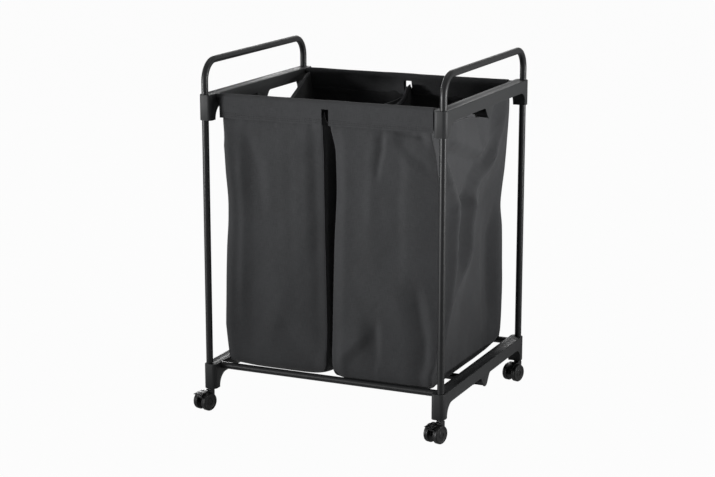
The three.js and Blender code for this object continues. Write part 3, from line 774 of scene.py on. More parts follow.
def fold(a, b, line, left, right, height, ends=(0.5, 0.5)):
    """A fold along a line of (a, b) points: its flanks reach left and right of the line.

    ends says what share of its height it has at its first and its last point."""
    points = np.array(line, float)
    lengths = steps_along(points)
    best = np.full(np.broadcast(a, b).shape, np.inf)
    side = np.zeros_like(best)
    along = np.zeros_like(best)
    for start, step, done in zip(points, np.diff(points, axis=0), lengths):
        size = float(np.hypot(*step))
        t = unit(((a - start[0]) * step[0] + (b - start[1]) * step[1]) / size**2)
        da = a - start[0] - t * step[0]
        db = b - start[1] - t * step[1]
        distance = np.hypot(da, db)
        nearer = distance < best
        best = np.where(nearer, distance, best)
        side = np.where(nearer, step[0] * db - step[1] * da, side)
        along = np.where(nearer, done + t * size, along)
    flank = unit(1 - best / np.where(side > 0, left, right))
    flank = 0.35 * ease(flank) + 0.65 * flank**1.3
    share = along / lengths[-1]
    for end, from_end in zip(ends, (share, 1 - share)):
        flank = flank * (end + (1 - end) * unit(4 * from_end))
    return height * flank


# %% [markdown]
# ### The outline and the folds of each bag
#
# The left bag shows its front, the right bag its front and its outer side. What the photograph
# hides gets folds of the same kind, and slow waves made from its own seeds. EDGES says where along
# X the front and the rear end of a side wall stand at each height, and MOUTH how high its top edge
# is along its length. A row of FOLDS holds a fold's line, the reach of its left and its right
# flank, its height, and the shares of that height at its two ends.

# %% Tables for the outline of the bags
HEM_FOOT = 548.8
PANEL_TOP = HEM_FOOT + 11
HALF_DEPTH = 214
WALL_NAMES = {"left": ("front", "inner", "rear", "outer"),
              "right": ("front", "outer", "rear", "inner")}
MOUTH_ENDS = {"outer": 590, "inner": 574}
EDGES = {
    "left outer front": [(0, -243), (50, -245), (180, -242.5), (262, -239.5), (330, -235),
        (370, -234), (400, -235), (430, -236.5), (480, -237.5), (528, -240), (549, -242),
        (600, -243)],
    "left outer rear": [(0, -240), (60, -241), (200, -238), (300, -233), (380, -234), (470, -239),
        (549, -242), (600, -243)],
    "left inner front": [(0, -1), (40, -3), (140, -4), (300, -6), (494, -7), (549, -5), (600, -5)],
    "left inner rear": [(0, -4), (300, -8), (530, -3), (556, 2), (600, 1)],
    "right inner front": [(0, 8), (40, 9), (200, 14), (300, 18), (420, 25), (494, 23),
        (549, 12.5), (600, 11)],
    "right inner rear": [(0, 10), (300, 15), (549, 11), (600, 12)],
    "right outer front": [(0, 231), (26, 243), (60, 251), (140, 256), (330, 256), (430, 255),
        (500, 249), (549, 243), (600, 244)],
    "right outer rear": [(0, 243), (25, 244), (60, 245), (125, 245.5), (180, 244), (262, 241.5),
        (317, 236.5), (346, 238.5), (402, 244.5), (458, 248), (542, 251), (600, 250)]}
MOUTH = {
    "left outer": [(-214, 590), (-190, 578), (-150, 556), (-90, 538), (-30, 530), (20, 537),
        (64, 551), (95, 565), (130, 579), (190, 590), (214, 592)],
    "left inner": [(-214, 574), (-204, 560), (-190, 550), (-100, 543), (0, 542), (90, 546),
        (146, 546), (192, 549), (205, 560), (214, 573)],
    "right inner": [(-214, 574), (-204, 562), (-180, 549), (-90, 541), (30, 540), (120, 546),
        (165, 556), (190, 575), (214, 577)],
    "right outer": [(-214, 590), (-196, 582), (-150, 566), (-100, 558), (-30, 555), (24, 551),
        (62, 543), (103, 537), (122, 545), (145, 560), (178, 578), (214, 592)]}

# %% Tables for the folds
V_FRONT = [(-196, 560), (-179, 518), (-137, 430), (-91, 376), (-87, 351), (-98, 312), (-107, 235),
           (-129, 181), (-142, 139), (-163, 83), (-180, 34)]
V_REAR = [(196, 560), (160, 500), (124, 445), (93, 420), (47, 398), (28, 376), (20, 352), (4, 313),
          (-8, 257), (-32, 231), (-78, 178), (-97, 111)]
BUCKLE_FRONT = [(-190, 556), (-130, 470), (-70, 392), (-50, 320), (-70, 220), (-120, 110),
                (-180, 30)]
BUCKLE_REAR = [(190, 560), (130, 480), (80, 400), (64, 310), (40, 220), (70, 120), (150, 30)]
INNER_FRONT = [(-200, 530), (-120, 430), (-90, 300), (-120, 120), (-190, 20)]
FOLDS = {
    "right outer": [
        (V_FRONT, 58, 36, 26, (0.2, 0.3)), (V_FRONT, 26, 18, 4, (0.2, 0.3)),
        (V_REAR, 84, 34, 26, (0.2, 0.15)), (V_REAR, 26, 18, 3, (0.2, 0)),
        ([(-88, 360), (-46, 372), (14, 366), (64, 396)], 14, 20, -5, (0.1, 0.3)),
        ([(-178, 540), (-60, 500), (6, 482), (70, 462), (170, 520)], 84, 28, 17, (0.2, 0.2)),
        ([(108, 434), (48, 396), (18, 374), (-38, 360)], 26, 26, -7, (0.1, 0.3)),
        ([(190, 330), (164, 250), (158, 60)], 30, 58, -14, (0.1, 0.4)),
        ([(-178, 330), (-172, 200), (-194, 60)], 26, 24, -5),
        ([(30, 180), (70, 90), (150, 20)], 70, 70, 4, (0.1, 0.5))],
    "left outer": [
        (BUCKLE_FRONT, 60, 110, 13, (0.2, 0.2)), (BUCKLE_REAR, 100, 56, 13, (0.2, 0.2)),
        ([(-120, 500), (-20, 452), (100, 500)], 60, 70, 6, (0.1, 0.1)),
        ([(10, 400), (-6, 250), (10, 100)], 36, 36, -5)],
    "left inner": [
        (INNER_FRONT, 60, 90, 4, (0.2, 0.2)),
        ([(200, 530), (110, 400), (70, 260), (120, 110), (190, 20)], 90, 60, 4, (0.2, 0.2))],
    "right inner": [
        (INNER_FRONT, 60, 90, 4, (0.2, 0.2)),
        ([(200, 530), (110, 400), (-70, 260), (120, 110), (190, 20)], 90, 60, 4, (0.2, 0.2))],
    "right front": [
        ([(132, 552), (130, 505), (122, 470), (118, 430)], 10, 24, -3.4, (0.7, 0.05)),
        ([(118, 548), (112, 480), (104, 400), (100, 300)], 26, 20, 1.6, (0.4, 0.1)),
        ([(156, 545), (205, 541), (252, 534)], 12, 40, -4.0, (0.0, 1.0)),
        ([(146, 547), (205, 541), (252, 534)], 5, 9, -5.0, (0.2, 1.0)),
        ([(170, 530), (193, 500), (223, 480), (246, 455)], 30, 20, -2.6, (0.3, 0.5)),
        ([(168, 545), (172, 470), (166, 380), (170, 250)], 20, 52, -1.8),
        ([(14, 22), (47, 57), (80, 92), (104, 118)], 50, 24, 5.0, (1.0, 0.1)),
        ([(118, 140), (114, 118), (115, 45)], 14, 40, -4.2, (0.2, 0.4)),
        ([(206, 230), (213, 151), (225, 94), (230, 12)], 26, 46, -6.0, (0.1, 1.0)),
        ([(40, 548), (44, 420), (38, 260), (30, 90)], 30, 26, 1.4, (0.6, 0.2)),
        ([(66, 240), (110, 210), (190, 200)], 60, 50, 1.5, (0.1, 0.1))],
    "left front": [
        ([(-196, 548), (-200, 430), (-196, 300), (-204, 120)], 30, 22, 1.8, (0.4, 0.3)),
        ([(-206, 540), (-178, 500), (-160, 440), (-150, 330)], 24, 50, -2.2, (0.3, 0.1)),
        ([(-40, 546), (-52, 480), (-48, 380), (-52, 240)], 26, 34, 1.5, (0.5, 0.1)),
        ([(-110, 130), (-96, 90), (-60, 40), (-20, 14)], 40, 60, -2.4, (0.1, 0.8)),
        ([(-128, 250), (-110, 160), (-140, 40)], 44, 60, 1.6, (0.1, 0.4)),
        ([(-18, 548), (-14, 400), (-16, 200), (-8, 30)], 14, 30, -2.2)],
    "left rear": [([(-140, 548), (-130, 380)], 30, 30, 2.0, (0.7, 0.1))],
    "right rear": [([(90, 548), (96, 380)], 30, 30, 2.0, (0.7, 0.1))]}
REAR_SEEDS = {"left rear": 31, "right rear": 47}
OUTER_SLACK = 17
INNER_SLACK = 4
DRAWN_IN = 10
BELLY = 1.2
TUCK = 3.0
CORNER_TUCK = 3.0
PUCKER = 0.45


# %% How far each wall is pushed out, in millimetres
def folds(where, a, b):
    return sum(fold(a, b, *row) for row in FOLDS[where])


def pushed_side(where, y, z):
    """A side wall has more cloth than it needs, so it sags inwards between its folds."""
    if where.endswith("inner"):
        return folds(where, y, z) - INNER_SLACK
    push = folds(where, y, z) - OUTER_SLACK * ease((1 - np.abs(y) / HALF_DEPTH) * 2.2)
    if where == "right outer":
        drawn_in = DRAWN_IN * (HALF_DEPTH - y) / (2 * HALF_DEPTH) * unit((y + HALF_DEPTH) / 44)
        push -= drawn_in * unit(z / 120) * unit((545 - z) / 60)
    return push


def pushed_panel(where, x, z, seed):
    """A front or back wall hangs from its hem, puckers below it and bellies a little."""
    below = HEM_FOOT - z
    push = folds(where, x, z)
    if where in REAR_SEEDS:
        push += 2.2 * waves(x, z * 0.35, REAR_SEEDS[where], 120)
    push *= 1.5 * unit(unit(below / 26) + 0.25)
    push += PUCKER * np.exp(-np.abs(below) / 16) * waves(x * 3.2, z * 0.25, seed, 60)
    push += BELLY * np.sin(unit(z / HEM_FOOT) * math.pi)
    tuck = TUCK + (CORNER_TUCK * unit((x - 140) / 60) if where.startswith("right") else 0)
    push -= tuck * np.exp(-np.clip(below, 0, 99) / 7)
    return np.where(below < 3, np.minimum(push, 0), push)


# %% Sizes of the walls and corners
# Height and width of the round edge under the walls
ROUND_FOOT = 24
FOOT_INSET = 13
# Half the depth of a bag at each height, over its front and back walls and along its side walls
PANEL_Y = [(0, 213.5), (40, 216), (200, 219), (549, 225), (600, 226.5)]
WALL_Y = [(0, 213.5), (40, 216), (200, 219), (549, 225), (561, 222.5), (592, 213), (600, 213)]
CORNER_RADIUS = [(0, 15), (60, 12), (300, 13), (520, 9), (549, 5), (600, 4)]
PINCHED = [(0, 12), (60, 5), (300, 4), (549, 4), (600, 4)]
# Corner 0 is the front right one, and the others follow anticlockwise
ROUNDING = {("left", 0): PINCHED, ("right", 3): PINCHED, ("right", 0): PINCHED,
            ("left", 3): [(0, 15), (60, 20), (300, 24), (500, 16), (549, 5), (600, 4)],
            ("right", 1): [(0, 12), (300, 9), (420, 9), (549, 5), (600, 4)]}
# The front walls lean out (or in, below 0) from one x to another, by this much
LEAN = {"left": [((-125, -8), -10), ((-150, -238), 18)],
        "right": [((48, 18), -4), ((180, 256), -12)]}
# Faces along each wall and round each corner, and rows up the walls
COLUMNS = (48, 84, 48, 84)
BEND = 8
ROWS = 118
FOOT_STEPS = 6
RINGS = 12
SEAM_PROUD = 0.8
# How high the slow and the fine waves of the cloth are
SLOW_WAVES = 0.9
FINE_WAVES = 0.22
BAG_SEEDS = {"left": 5, "right": 9}


# %% The grid of one bag
def columns():
    """Every column's wall or corner, and its place along it. Wall 0 is the front."""
    made = []
    for k, count in enumerate(COLUMNS):
        made += [("wall", k, i / count) for i in range(count + 1)]
        made += [("corner", k, i / BEND) for i in range(1, BEND)]
    return made


def bag_walls(side):
    """Points of the four walls in millimetres, rows from the foot up, columns anticlockwise."""
    cols = columns()
    tops = []
    for kind, k, t in cols:
        if kind == "corner":
            end = MOUTH_ENDS[WALL_NAMES[side][1 if k < 2 else 3]]
            tops.append(PANEL_TOP + (end - PANEL_TOP) * (1 - t if k % 2 else t))
        elif k % 2:
            y = (2 * t - 1) * HALF_DEPTH * (2 - k)
            tops.append(float(smooth_line(MOUTH[f"{side} {WALL_NAMES[side][k]}"], y)))
        else:
            tops.append(PANEL_TOP)
    level = np.linspace(0, 1, ROWS + 1)[:, None]
    level = level * (1.35 - 0.35 * level)
    z = ROUND_FOOT + (np.array(tops) - ROUND_FOOT) * level
    return cols, z, *bag_ring(side, cols, z)


def bag_ring(side, cols, z):
    """x, y and the outward direction of every column at the heights z."""
    x = np.zeros_like(z)
    y = np.zeros_like(z)
    out = np.zeros((len(cols), 2))
    for c, (kind, k, t) in enumerate(cols):
        h = z[:, c]
        r = [smooth_line(ROUNDING.get((side, n), CORNER_RADIUS), h) for n in range(4)]
        x0f, x1f, x0r, x1r = (smooth_line(EDGES[f"{side} {WALL_NAMES[side][wall]} {end}"], h)
                              for end in ENDS for wall in (3, 1))
        on_side = k % 2 if kind == "wall" else (1 - t if k % 2 else t)
        half = smooth_line(PANEL_Y, h) * (1 - on_side) + smooth_line(WALL_Y, h) * on_side
        turn = (k - 1 if kind == "wall" else k - 1 + t) * math.pi / 2
        out[c] = math.cos(turn), math.sin(turn)
        centres = ((x1f - r[0], r[0] - half), (x1r - r[1], half - r[1]),
                   (x0r + r[2], half - r[2]), (x0f + r[3], r[3] - half))
        share = t if kind == "wall" else 1
        for n, part in ((k - 1, 1 - share), (k, share)):
            x[:, c] += part * (centres[n][0] + r[n] * out[c, 0])
            y[:, c] += part * (centres[n][1] + r[n] * out[c, 1])
    return x, y, out


# %% Push the walls out along their folds
def shape_walls(side, cols, z, x, y, out):
    """Pushes the walls in and out along their folds."""
    for k, wall in enumerate(WALL_NAMES[side]):
        where, seed = f"{side} {wall}", BAG_SEEDS[side]
        chosen = [c for c, (kind, number, t) in enumerate(cols) if (kind, number) == ("wall", k)]
        a = (y if k % 2 else x)[:, chosen]
        b = z[:, chosen]
        push = pushed_side(where, a, b) if k % 2 else pushed_panel(where, a, b, seed + k)
        push = push + SLOW_WAVES * waves(a, b * 0.6, seed + 3 * k, 150)
        push = push + FINE_WAVES * waves(a, b, seed + k, 34)
        share = np.array([cols[c][2] for c in chosen])
        push *= ease(np.minimum(share, 1 - share) * (14 if k % 2 else 9))
        x[:, chosen] += out[chosen, 0] * push
        y[:, chosen] += out[chosen, 1] * push
    hung = unit(z / 90) * unit((HEM_FOOT - z) / 60)
    for (start, end), amount in LEAN[side]:
        y -= amount * unit((x - start) / (end - start)) ** 2 * hung * unit((-y - 150) / 60)
    seam = [c for c, (kind, k, t) in enumerate(cols) if (kind, t) == ("corner", 0.5)]
    x[:, seam] += out[seam, 0] * SEAM_PROUD
    y[:, seam] += out[seam, 1] * SEAM_PROUD


# %% The bottom of one bag
HALF_ACROSS = 118
HALF_BOTTOM = 213
HALF_FOOT = 216
SAG = 31.3
EDGE_LIFT = 5.5
REST_LIFT = 1.5
STEEPNESS = {"left": 3.4, "right": 7}
# How much the round edge goes straight in, and not towards the middle
STRAIGHT_SHARE = 0.75


def bag_foot(side, x, y):
    """Rows from under the walls to the middle of the sagging bottom, outermost first."""
    x_middle = (x[0].min() + x[0].max()) / 2
    x0, y0 = x[0] - x_middle, y[0]
    side_on = np.abs(x0) / HALF_ACROSS > np.abs(y0) / HALF_FOOT
    straight = np.stack([np.where(side_on, np.sign(x0), 0), np.where(side_on, 0, np.sign(y0))])
    outward = np.stack([x0, y0]) / np.hypot(x0, y0)
    outward = STRAIGHT_SHARE * straight + (1 - STRAIGHT_SHARE) * outward
    rows = []
    for i in range(1, FOOT_STEPS + 1):
        turn = math.pi / 2 * i / FOOT_STEPS
        inset = FOOT_INSET * (1 - math.cos(turn))
        rows.append((x0 - outward[0] * inset, y0 - outward[1] * inset,
                     np.full_like(x0, ROUND_FOOT * (1 - math.sin(turn)))))
    xe, ye, ze = rows[-1]
    rows += [(xe * (1 - i / RINGS), ye * (1 - i / RINGS), ze) for i in range(1, RINGS + 1)]
    settled = []
    for xr, yr, zr in rows:
        u = unit(np.abs(xr) / HALF_ACROSS)
        v = unit(np.abs(yr) / HALF_BOTTOM)
        sag = (1 - v**STEEPNESS[side]) * (1 - u**6)
        lift = EDGE_LIFT * u**3 * (1 - v**4) + REST_LIFT
        settled.append((x_middle + xr, yr, zr + lift * (1 - sag) - SAG * sag))
    return settled


# %% [markdown]
# The walls and the bottom become one sheet. Its UV map is the cloth itself, laid out in metres, so
# that the weave runs up the walls and round the corners. Solidify then gives the sheet its
# thickness, and puts a darker copy of the cloth on the inner faces: painted shade for the dim
# inside of the bag.

# %% Sheets with a cloth map
def sheet_mesh(name, grid, closed, cloth_u, cloth_v, skip=None):
    """A mesh over a grid of points (rows, columns, 3) in metres, with a UV map in metres."""
    rows, cols = grid.shape[:2]
    faces, coords = [], []
    for j in range(rows - 1):
        for i in range(cols if closed else cols - 1):
            if skip is not None and skip[j, i]:
                continue
            n = (i + 1) % cols
            faces.append((j * cols + i, j * cols + n, (j + 1) * cols + n, (j + 1) * cols + i))
            coords += [(cloth_u[row, i + ahead], cloth_v[row, (i + ahead) % cols])
                       for row, ahead in ((j, 0), (j, 1), (j + 1, 1), (j + 1, 0))]
    mesh = bpy.data.meshes.new(name)
    mesh.from_pydata(grid.reshape(-1, 3).tolist(), [], faces)
    mesh.uv_layers.new(name="Cloth").data.foreach_set("uv", np.array(coords).ravel())
    work = opened(mesh)
    bmesh.ops.delete(work, geom=[v for v in work.verts if not v.link_faces], context="VERTS")
    bmesh.ops.remove_doubles(work, verts=work.verts, dist=0.02 * MM)
    bmesh.ops.dissolve_degenerate(work, edges=work.edges, dist=0.01 * MM)
    return written(work, mesh)


def thickened(mesh, thickness, materials, inside=0):
    """Gives a sheet a wall on the side away from its normals."""
    for material in materials:
        mesh.materials.append(material)
    return modified(mesh, ("SOLIDIFY", {
        "thickness": thickness, "offset": -1, "material_offset": inside}))


def to_frame(x, y, z):
    """Millimetres from the middle of the frame to metres in the frame."""
    return np.stack([x * MM + CENTRE.x, y * MM + CENTRE.y, z * MM + LOWER_TOP], axis=-1)


# %% Make the two bags
CLOTH_THICKNESS = 1.1 * MM
# The row of the grid along which the girth is measured
GIRTH_ROW = -60
# A darker copy of the cloth for the inner faces: painted shade for the inside of the bags
INSIDE_SHADE_CLOTH = woven("Bag inside with painted shade", (0.014, 0.0145, 0.0155), 1.1 * MM, 0.8)
bag_data = {}
for side in SIDES:
    cols, z, x, y, out = bag_walls(side)
    shape_walls(side, cols, z, x, y, out)
    foot = bag_foot(side, x, y)
    xs, ys, zs = (np.stack([row[n] for row in reversed(foot)] + list(wall))
                  for n, wall in enumerate((x, y, z)))
    grid = to_frame(xs, ys, zs)
    around = steps_along(np.vstack([grid[GIRTH_ROW], grid[GIRTH_ROW, :1]]))
    cloth_u = np.tile(around, (len(grid), 1))
    cloth_v = np.cumsum(np.linalg.norm(np.diff(grid, axis=0, prepend=grid[:1]), axis=2), axis=0)
    bottom = len(foot) - FOOT_STEPS
    cloth_u[:bottom, :-1], cloth_v[:bottom] = grid[:bottom, :, 0], grid[:bottom, :, 1]
    cloth_u[:bottom, -1] = cloth_u[:bottom, 0]
    mesh = thickened(sheet_mesh("Bag", grid, True, cloth_u, cloth_v), CLOTH_THICKNESS,
                     [CLOTH, INSIDE_SHADE_CLOTH], 1)
    finished(f"bag_cloth_{side}", mesh, CLOTH, "frame", [f"bag_{side}"], sharp=80)
    bag_data[side] = cols, grid
    print(side, "bag", len(mesh.polygons), "faces, walls", round(float(zs.max())), "mm high")


# %% [markdown]
# ## Hem sleeves
#
# The front and back of both bags are folded over the upper rods and sewn down, which leaves one
# long sleeve on each rod with a slit between the bags. The sheet below runs from the free edge
# outside, over the rod, and down inside. It is loose cloth, so it waves a little, and it puckers
# where the seams hold it.

# %% Sizes of the sleeves and their section
HEM_HALF = 247.0
SLIT = {"front": (-5.0, 11.0), "rear": (-5.0, 15.0)}
SLIT_TOP = 584.0
ROD_RADIUS = 7.5
ROD_OUT = 221.05
ROD_Z = 592.5
FREE_EDGE = 7.0
STITCH_ROWS = (4.6, 8.4)
BAR_ROW = 11.5
SLEEVE_THICKNESS = 0.9 * MM
SLEEVE_SEEDS = {"front": 12, "rear": 17}
# Heights of the outer rows above the free edge
OUTSIDE_ROWS = [0, 1, 2.5, 4, 4.6, 5.2, 6.5, 7.8, 8.4, 9, 10.2, 11.5, 14, 18, 22, 26, 30, 34, 39]


def sleeve_section():
    """(distance outside the rod's axis, height) pairs, from the outside over the rod inwards."""
    reach = ROD_RADIUS + 1.5
    rise = ROD_Z - HEM_FOOT
    outside = [(FREE_EDGE + (reach - FREE_EDGE) * b / rise, HEM_FOOT + b) for b in OUTSIDE_ROWS]
    over = [(reach * math.cos(a), ROD_Z + reach * math.sin(a))
            for a in np.linspace(0, math.pi, 13)]
    inside = [(-reach + (reach + 1.2) * t, ROD_Z + (HEM_FOOT + 4 - ROD_Z) * t)
              for t in np.linspace(0, 1, 12)[1:]]
    return np.array(outside + over + inside)


# %% Make the two sleeves
def bell(place, centre, width):
    return np.exp(-((place - centre) / width) ** 2)


def sleeve(end):
    """Makes one sleeve, and returns its columns, its rows and its grid for the stitches."""
    slit, seed = SLIT[end], SLEEVE_SEEDS[end]
    xs = np.concatenate([np.linspace(-HEM_HALF, slit[0], 71), np.linspace(*slit, 6)[1:-1],
                         np.linspace(slit[1], HEM_HALF, 69)])
    section = sleeve_section()
    lengths = steps_along(section)
    a, b = np.meshgrid(xs, lengths)
    gap = np.minimum(np.abs(a - slit[0]), np.abs(a - slit[1]))
    push = bell(b, 22, 16) * (1.1 * waves(a, b, seed, 190) + 0.4 * waves(a, b, seed + 1, 60))
    push += np.exp(-b / 7) * (0.35 * waves(a * 3, b, seed + 2, 48) + 0.2 + 0.9 * np.exp(-gap / 9))
    for seam in STITCH_ROWS:
        push -= 0.45 * bell(b, seam, 0.7)
    push += 0.5 * unit((BAR_ROW - b) / 1.5)
    lining = unit((b - 66) / 12) * (1.6 * waves(a, b, seed + 5, 150) + 1.2)
    off = section[:, :1] + push * (b < 58) - lining * np.where(b < 105, 1, 0.4)
    up = (section[:, 1:] + 0.5 * np.exp(-b / 10) * waves(a, b * 0, seed + 3, 130)
          + 0.35 * bell(b, 58, 12) * waves(a, b * 0, seed + 4, 90))
    grid = to_frame(a, (-1 if end == "front" else 1) * (ROD_OUT + off), up)
    heights = (section[:-1, 1:] + section[1:, 1:]) / 2
    middles = (xs[:-1] + xs[1:]) / 2
    skip = (heights < SLIT_TOP) & (middles > slit[0]) & (middles < slit[1])
    order = slice(None) if end == "front" else slice(None, None, -1)
    sheet = sheet_mesh("Sleeve", grid[:, order], False, a[:, order] * MM, b * MM, skip[:, order])
    mesh = thickened(sheet, SLEEVE_THICKNESS, [CLOTH, INSIDE_SHADE_CLOTH])
    finished(f"hem_cloth_{end}", mesh, CLOTH, "frame", [f"hem_sleeve_{end}"], sharp=70)
    return xs, lengths, grid


sleeves = {end: sleeve(end) for end in ENDS}
print("hem sleeves", round(2 * HEM_HALF), "mm long")

# %% [markdown]
# ## Stitches and edge tape
#
# Stitches are the one thing here that repeats by the hundred, so a Geometry Nodes tree lays them:
# it walks along a line with the stitch pitch, sets a small grain of thread at each step and turns
# it along the line. The sagging side edges of the bags are bound with tape, which wraps the raw
# edge and is stitched through.


# %% The tree that sews along a line
stitch_tree, given, result = new_tree("Stitches along a line", [
    ("Pitch", "Float"), ("Length", "Float"), ("Thickness", "Float"), ("Material", "Material")])
line = node(stitch_tree, "GeometryNodeMeshToCurve", {0: given["Geometry"]})
steps = node(stitch_tree, "GeometryNodeResampleCurve",
             {"Curve": line, "Length": given["Pitch"]}, mode="LENGTH")
along = node(stitch_tree, "FunctionNodeAlignRotationToVector",
             {"Vector": node(stitch_tree, "GeometryNodeInputTangent")}, axis="X")
thread = node(stitch_tree, "GeometryNodeMeshIcoSphere", {"Radius": 0.5, "Subdivisions": 1})
size = node(stitch_tree, "ShaderNodeCombineXYZ",
            {0: given["Length"], 1: given["Thickness"], 2: given["Thickness"]})
sewn = node(stitch_tree, "GeometryNodeInstanceOnPoints", {
    "Points": steps, "Instance": thread, "Rotation": along, "Scale": size})
real = node(stitch_tree, "GeometryNodeRealizeInstances", {0: sewn})
dyed = node(stitch_tree, "GeometryNodeSetMaterial",
            {"Geometry": real, "Material": given["Material"]})
wire(stitch_tree, dyed, result[0])
STITCH_THICKNESS = 1.2 * MM


def sewn_along(name, lines, pitch=4.0, length=3.1):
    """One piece with a row of stitches along each line of points in metres."""
    points, edges = [], []
    for line in lines:
        edges += [(len(points) + i, len(points) + i + 1) for i in range(len(line) - 1)]
        points += [tuple(place) for place in line]
    rows = bpy.data.meshes.new(name + " lines")
    rows.from_pydata(points, edges, [])
    mesh = grow(name, added(name + " lines", rows), stitch_tree, {
        "Pitch": pitch * MM, "Length": length * MM, "Thickness": STITCH_THICKNESS,
        "Material": THREAD})
    finished(name, mesh, THREAD, "frame", sharp=180)


# %% Sew the hems
END_GAP = 3.0
TACK = 38.0
for end in ENDS:
    xs, lengths, grid = sleeves[end]
    spans = ((END_GAP - HEM_HALF, SLIT[end][0] - END_GAP),
             (SLIT[end][1] + END_GAP, HEM_HALF - END_GAP))
    rows = []
    for seam in STITCH_ROWS:
        j = int(np.searchsorted(lengths, seam))
        t = (seam - lengths[j - 1]) / (lengths[j] - lengths[j - 1])
        line = grid[j - 1] * (1 - t) + grid[j] * t
        rows += [line[(xs > low) & (xs < high)] for low, high in spans]
    first, bar = np.searchsorted(lengths, (STITCH_ROWS[0], BAR_ROW))
    for start, stop in spans:
        for low, high in ((start, start + TACK), (stop - TACK, stop)):
            chosen = np.flatnonzero((xs > low) & (xs < high))
            rows += [grid[bar, chosen], grid[first:bar + 1, chosen[0]],
                     grid[first:bar + 1, chosen[-1]]]
    sewn_along(f"hem_stitches_{end}", rows)


# %% Bind the side edges of the bags
TAPE_SECTION = [(0.05, -9.0), (0.5, -8.6), (0.62, -4.5), (0.55, -0.4), (0.2, 0.45), (-0.55, 0.7),
                (-1.3, 0.45), (-1.65, -0.4), (-1.72, -4.5), (-1.6, -8.6), (-1.15, -9.0)]
TAPE_THICKNESS = 0.4 * MM
# The stitches' place, outwards and down from the top edge
SEWN_AT = (0.75, 6.5)


def normalised(rows):
    return rows / np.linalg.norm(rows, axis=1)[:, None]


for side in SIDES:
    cols, grid = bag_data[side]
    for k, name in ((1, "right"), (3, "left")):
        chosen = [c for c, (kind, wall, t) in enumerate(cols) if (kind, wall) == ("wall", k)]
        top = grid[-1, chosen]
        down = normalised(grid[-3, chosen] - top)
        normal = normalised(np.cross(normalised(np.gradient(top, axis=0)), -down))
        strip = np.stack([top + normal * n * MM - down * d * MM for n, d in TAPE_SECTION])
        cloth_u, cloth_v = np.meshgrid(steps_along(top), steps_along(TAPE_SECTION) * MM)
        mesh = thickened(sheet_mesh("Tape", strip, False, cloth_u, cloth_v), TAPE_THICKNESS, [TAPE])
        finished(f"edge_tape_{side}_bag_{name}", mesh, TAPE, "frame", sharp=60)
        stitches = top + normal * SEWN_AT[0] * MM + down * SEWN_AT[1] * MM
        sewn_along(f"tape_stitches_{side}_bag_{name}", [stitches], 3.6, 2.8)
print("tapes and stitches done")


# %% [markdown]
# ## Casters
#
# Each caster is a twin-wheel one: a moulded hood with a curved fender stands between two wheels
# and turns on its stem, and the front two have a brake lever that presses on the treads. Every
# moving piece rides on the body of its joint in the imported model, so that it swivels and spins in
# the poses. The pieces are drawn in the caster's own frame, with the stem axis on X = Y = 0, the
# floor at Z = 0 and the wheels trailing towards -Y, then turned and set in place at each corner.


# %% Caster sizes
WHEEL_RADIUS = 20 * MM
WHEEL_GAP = 13.5 * MM
TRAIL = 17 * MM
HOOD_TOP = 44 * MM
CASTER_TURN = math.radians(-15)
FENDER_IN = WHEEL_RADIUS + 1.2 * MM
FENDER_OUT = FENDER_IN + 2 * MM
FENDER_FROM = math.radians(32)
FENDER_TO = math.radians(128)
HOOD_HALF = WHEEL_GAP / 2 - 0.5 * MM
FENDER_HALF = WHEEL_GAP / 2 + 3.5 * MM
AXLE = (TRAIL, WHEEL_RADIUS)
PIN = (14 * MM, HOOD_TOP - 5.6 * MM)
# Radius and half length of the axle and of the brake's pin, and the radius of their holes
AXLE_SIZE = (2.5 * MM, 14.85 * MM)
PIN_SIZE = (1.3 * MM, 6.25 * MM)
AXLE_HOLE = 2.8 * MM
PIN_HOLE = 1.6 * MM
PIN_ROOM = 4.2 * MM
SLOT_HALF = 2.8 * MM


def millimetres(pairs):
    return [(a * MM, b * MM) for a, b in pairs]


def slab(outline, half):
    """A piece of even width from (trail, height) points, which run towards -Y."""
    return block([(-trail, height) for trail, height in outline], -half, half, "x")


def across(mesh, at):
    """Sets a mesh that is drawn round X on a (trail, height) place."""
    return shifted(mesh, y=-at[0], z=at[1])


def drill(radius, half, at, sides=32):
    return across(turned([(radius, -half), (radius, half)], sides, "x"), at)


def pin_mesh(radius, half, at):
    chamfer = 0.3 * MM
    return across(turned([(0, -half), (radius - chamfer, -half), (radius, chamfer - half),
                          (radius, half - chamfer), (radius - chamfer, half), (0, half)], 24, "x"),
                  at)


# %% Draw the wheels and hoods
WHEEL = millimetres([
    (0, 8.4), (2.8, 8.4), (2.8, 0.2), (3.0, 0), (7.0, 0), (7.4, 0.4), (7.8, 1.4), (14.6, 1.4),
    (15.2, 0.6), (16.0, 0), (18.8, 0), (19.6, 0.3), (20.0, 1.1), (20.0, 3.2), (19.8, 3.5),
    (20.0, 3.8), (20.0, 8.4), (19.85, 9.3), (19.3, 10.2), (18.5, 10.8), (17.6, 11.0),
    (16.9, 10.9), (16.5, 10.5), (16.2, 10.3), (8.4, 9.95), (7.9, 10.2), (7.5, 10.7),
    (6.8, 10.95), (5.8, 10.95), (5.5, 10.7), (5.4, 9.9), (0, 9.9)])
HOOD_FRONT = 7.5 * MM
HUB_RADIUS = 8 * MM
STEM_HOLE = 4.3 * MM
HOLE_FOOT = 26.7 * MM


def wheel_mesh(sign):
    profile = [(radius, sign * (WHEEL_GAP / 2 + x)) for radius, x in WHEEL]
    return across(turned(profile, 64, "x"), AXLE)


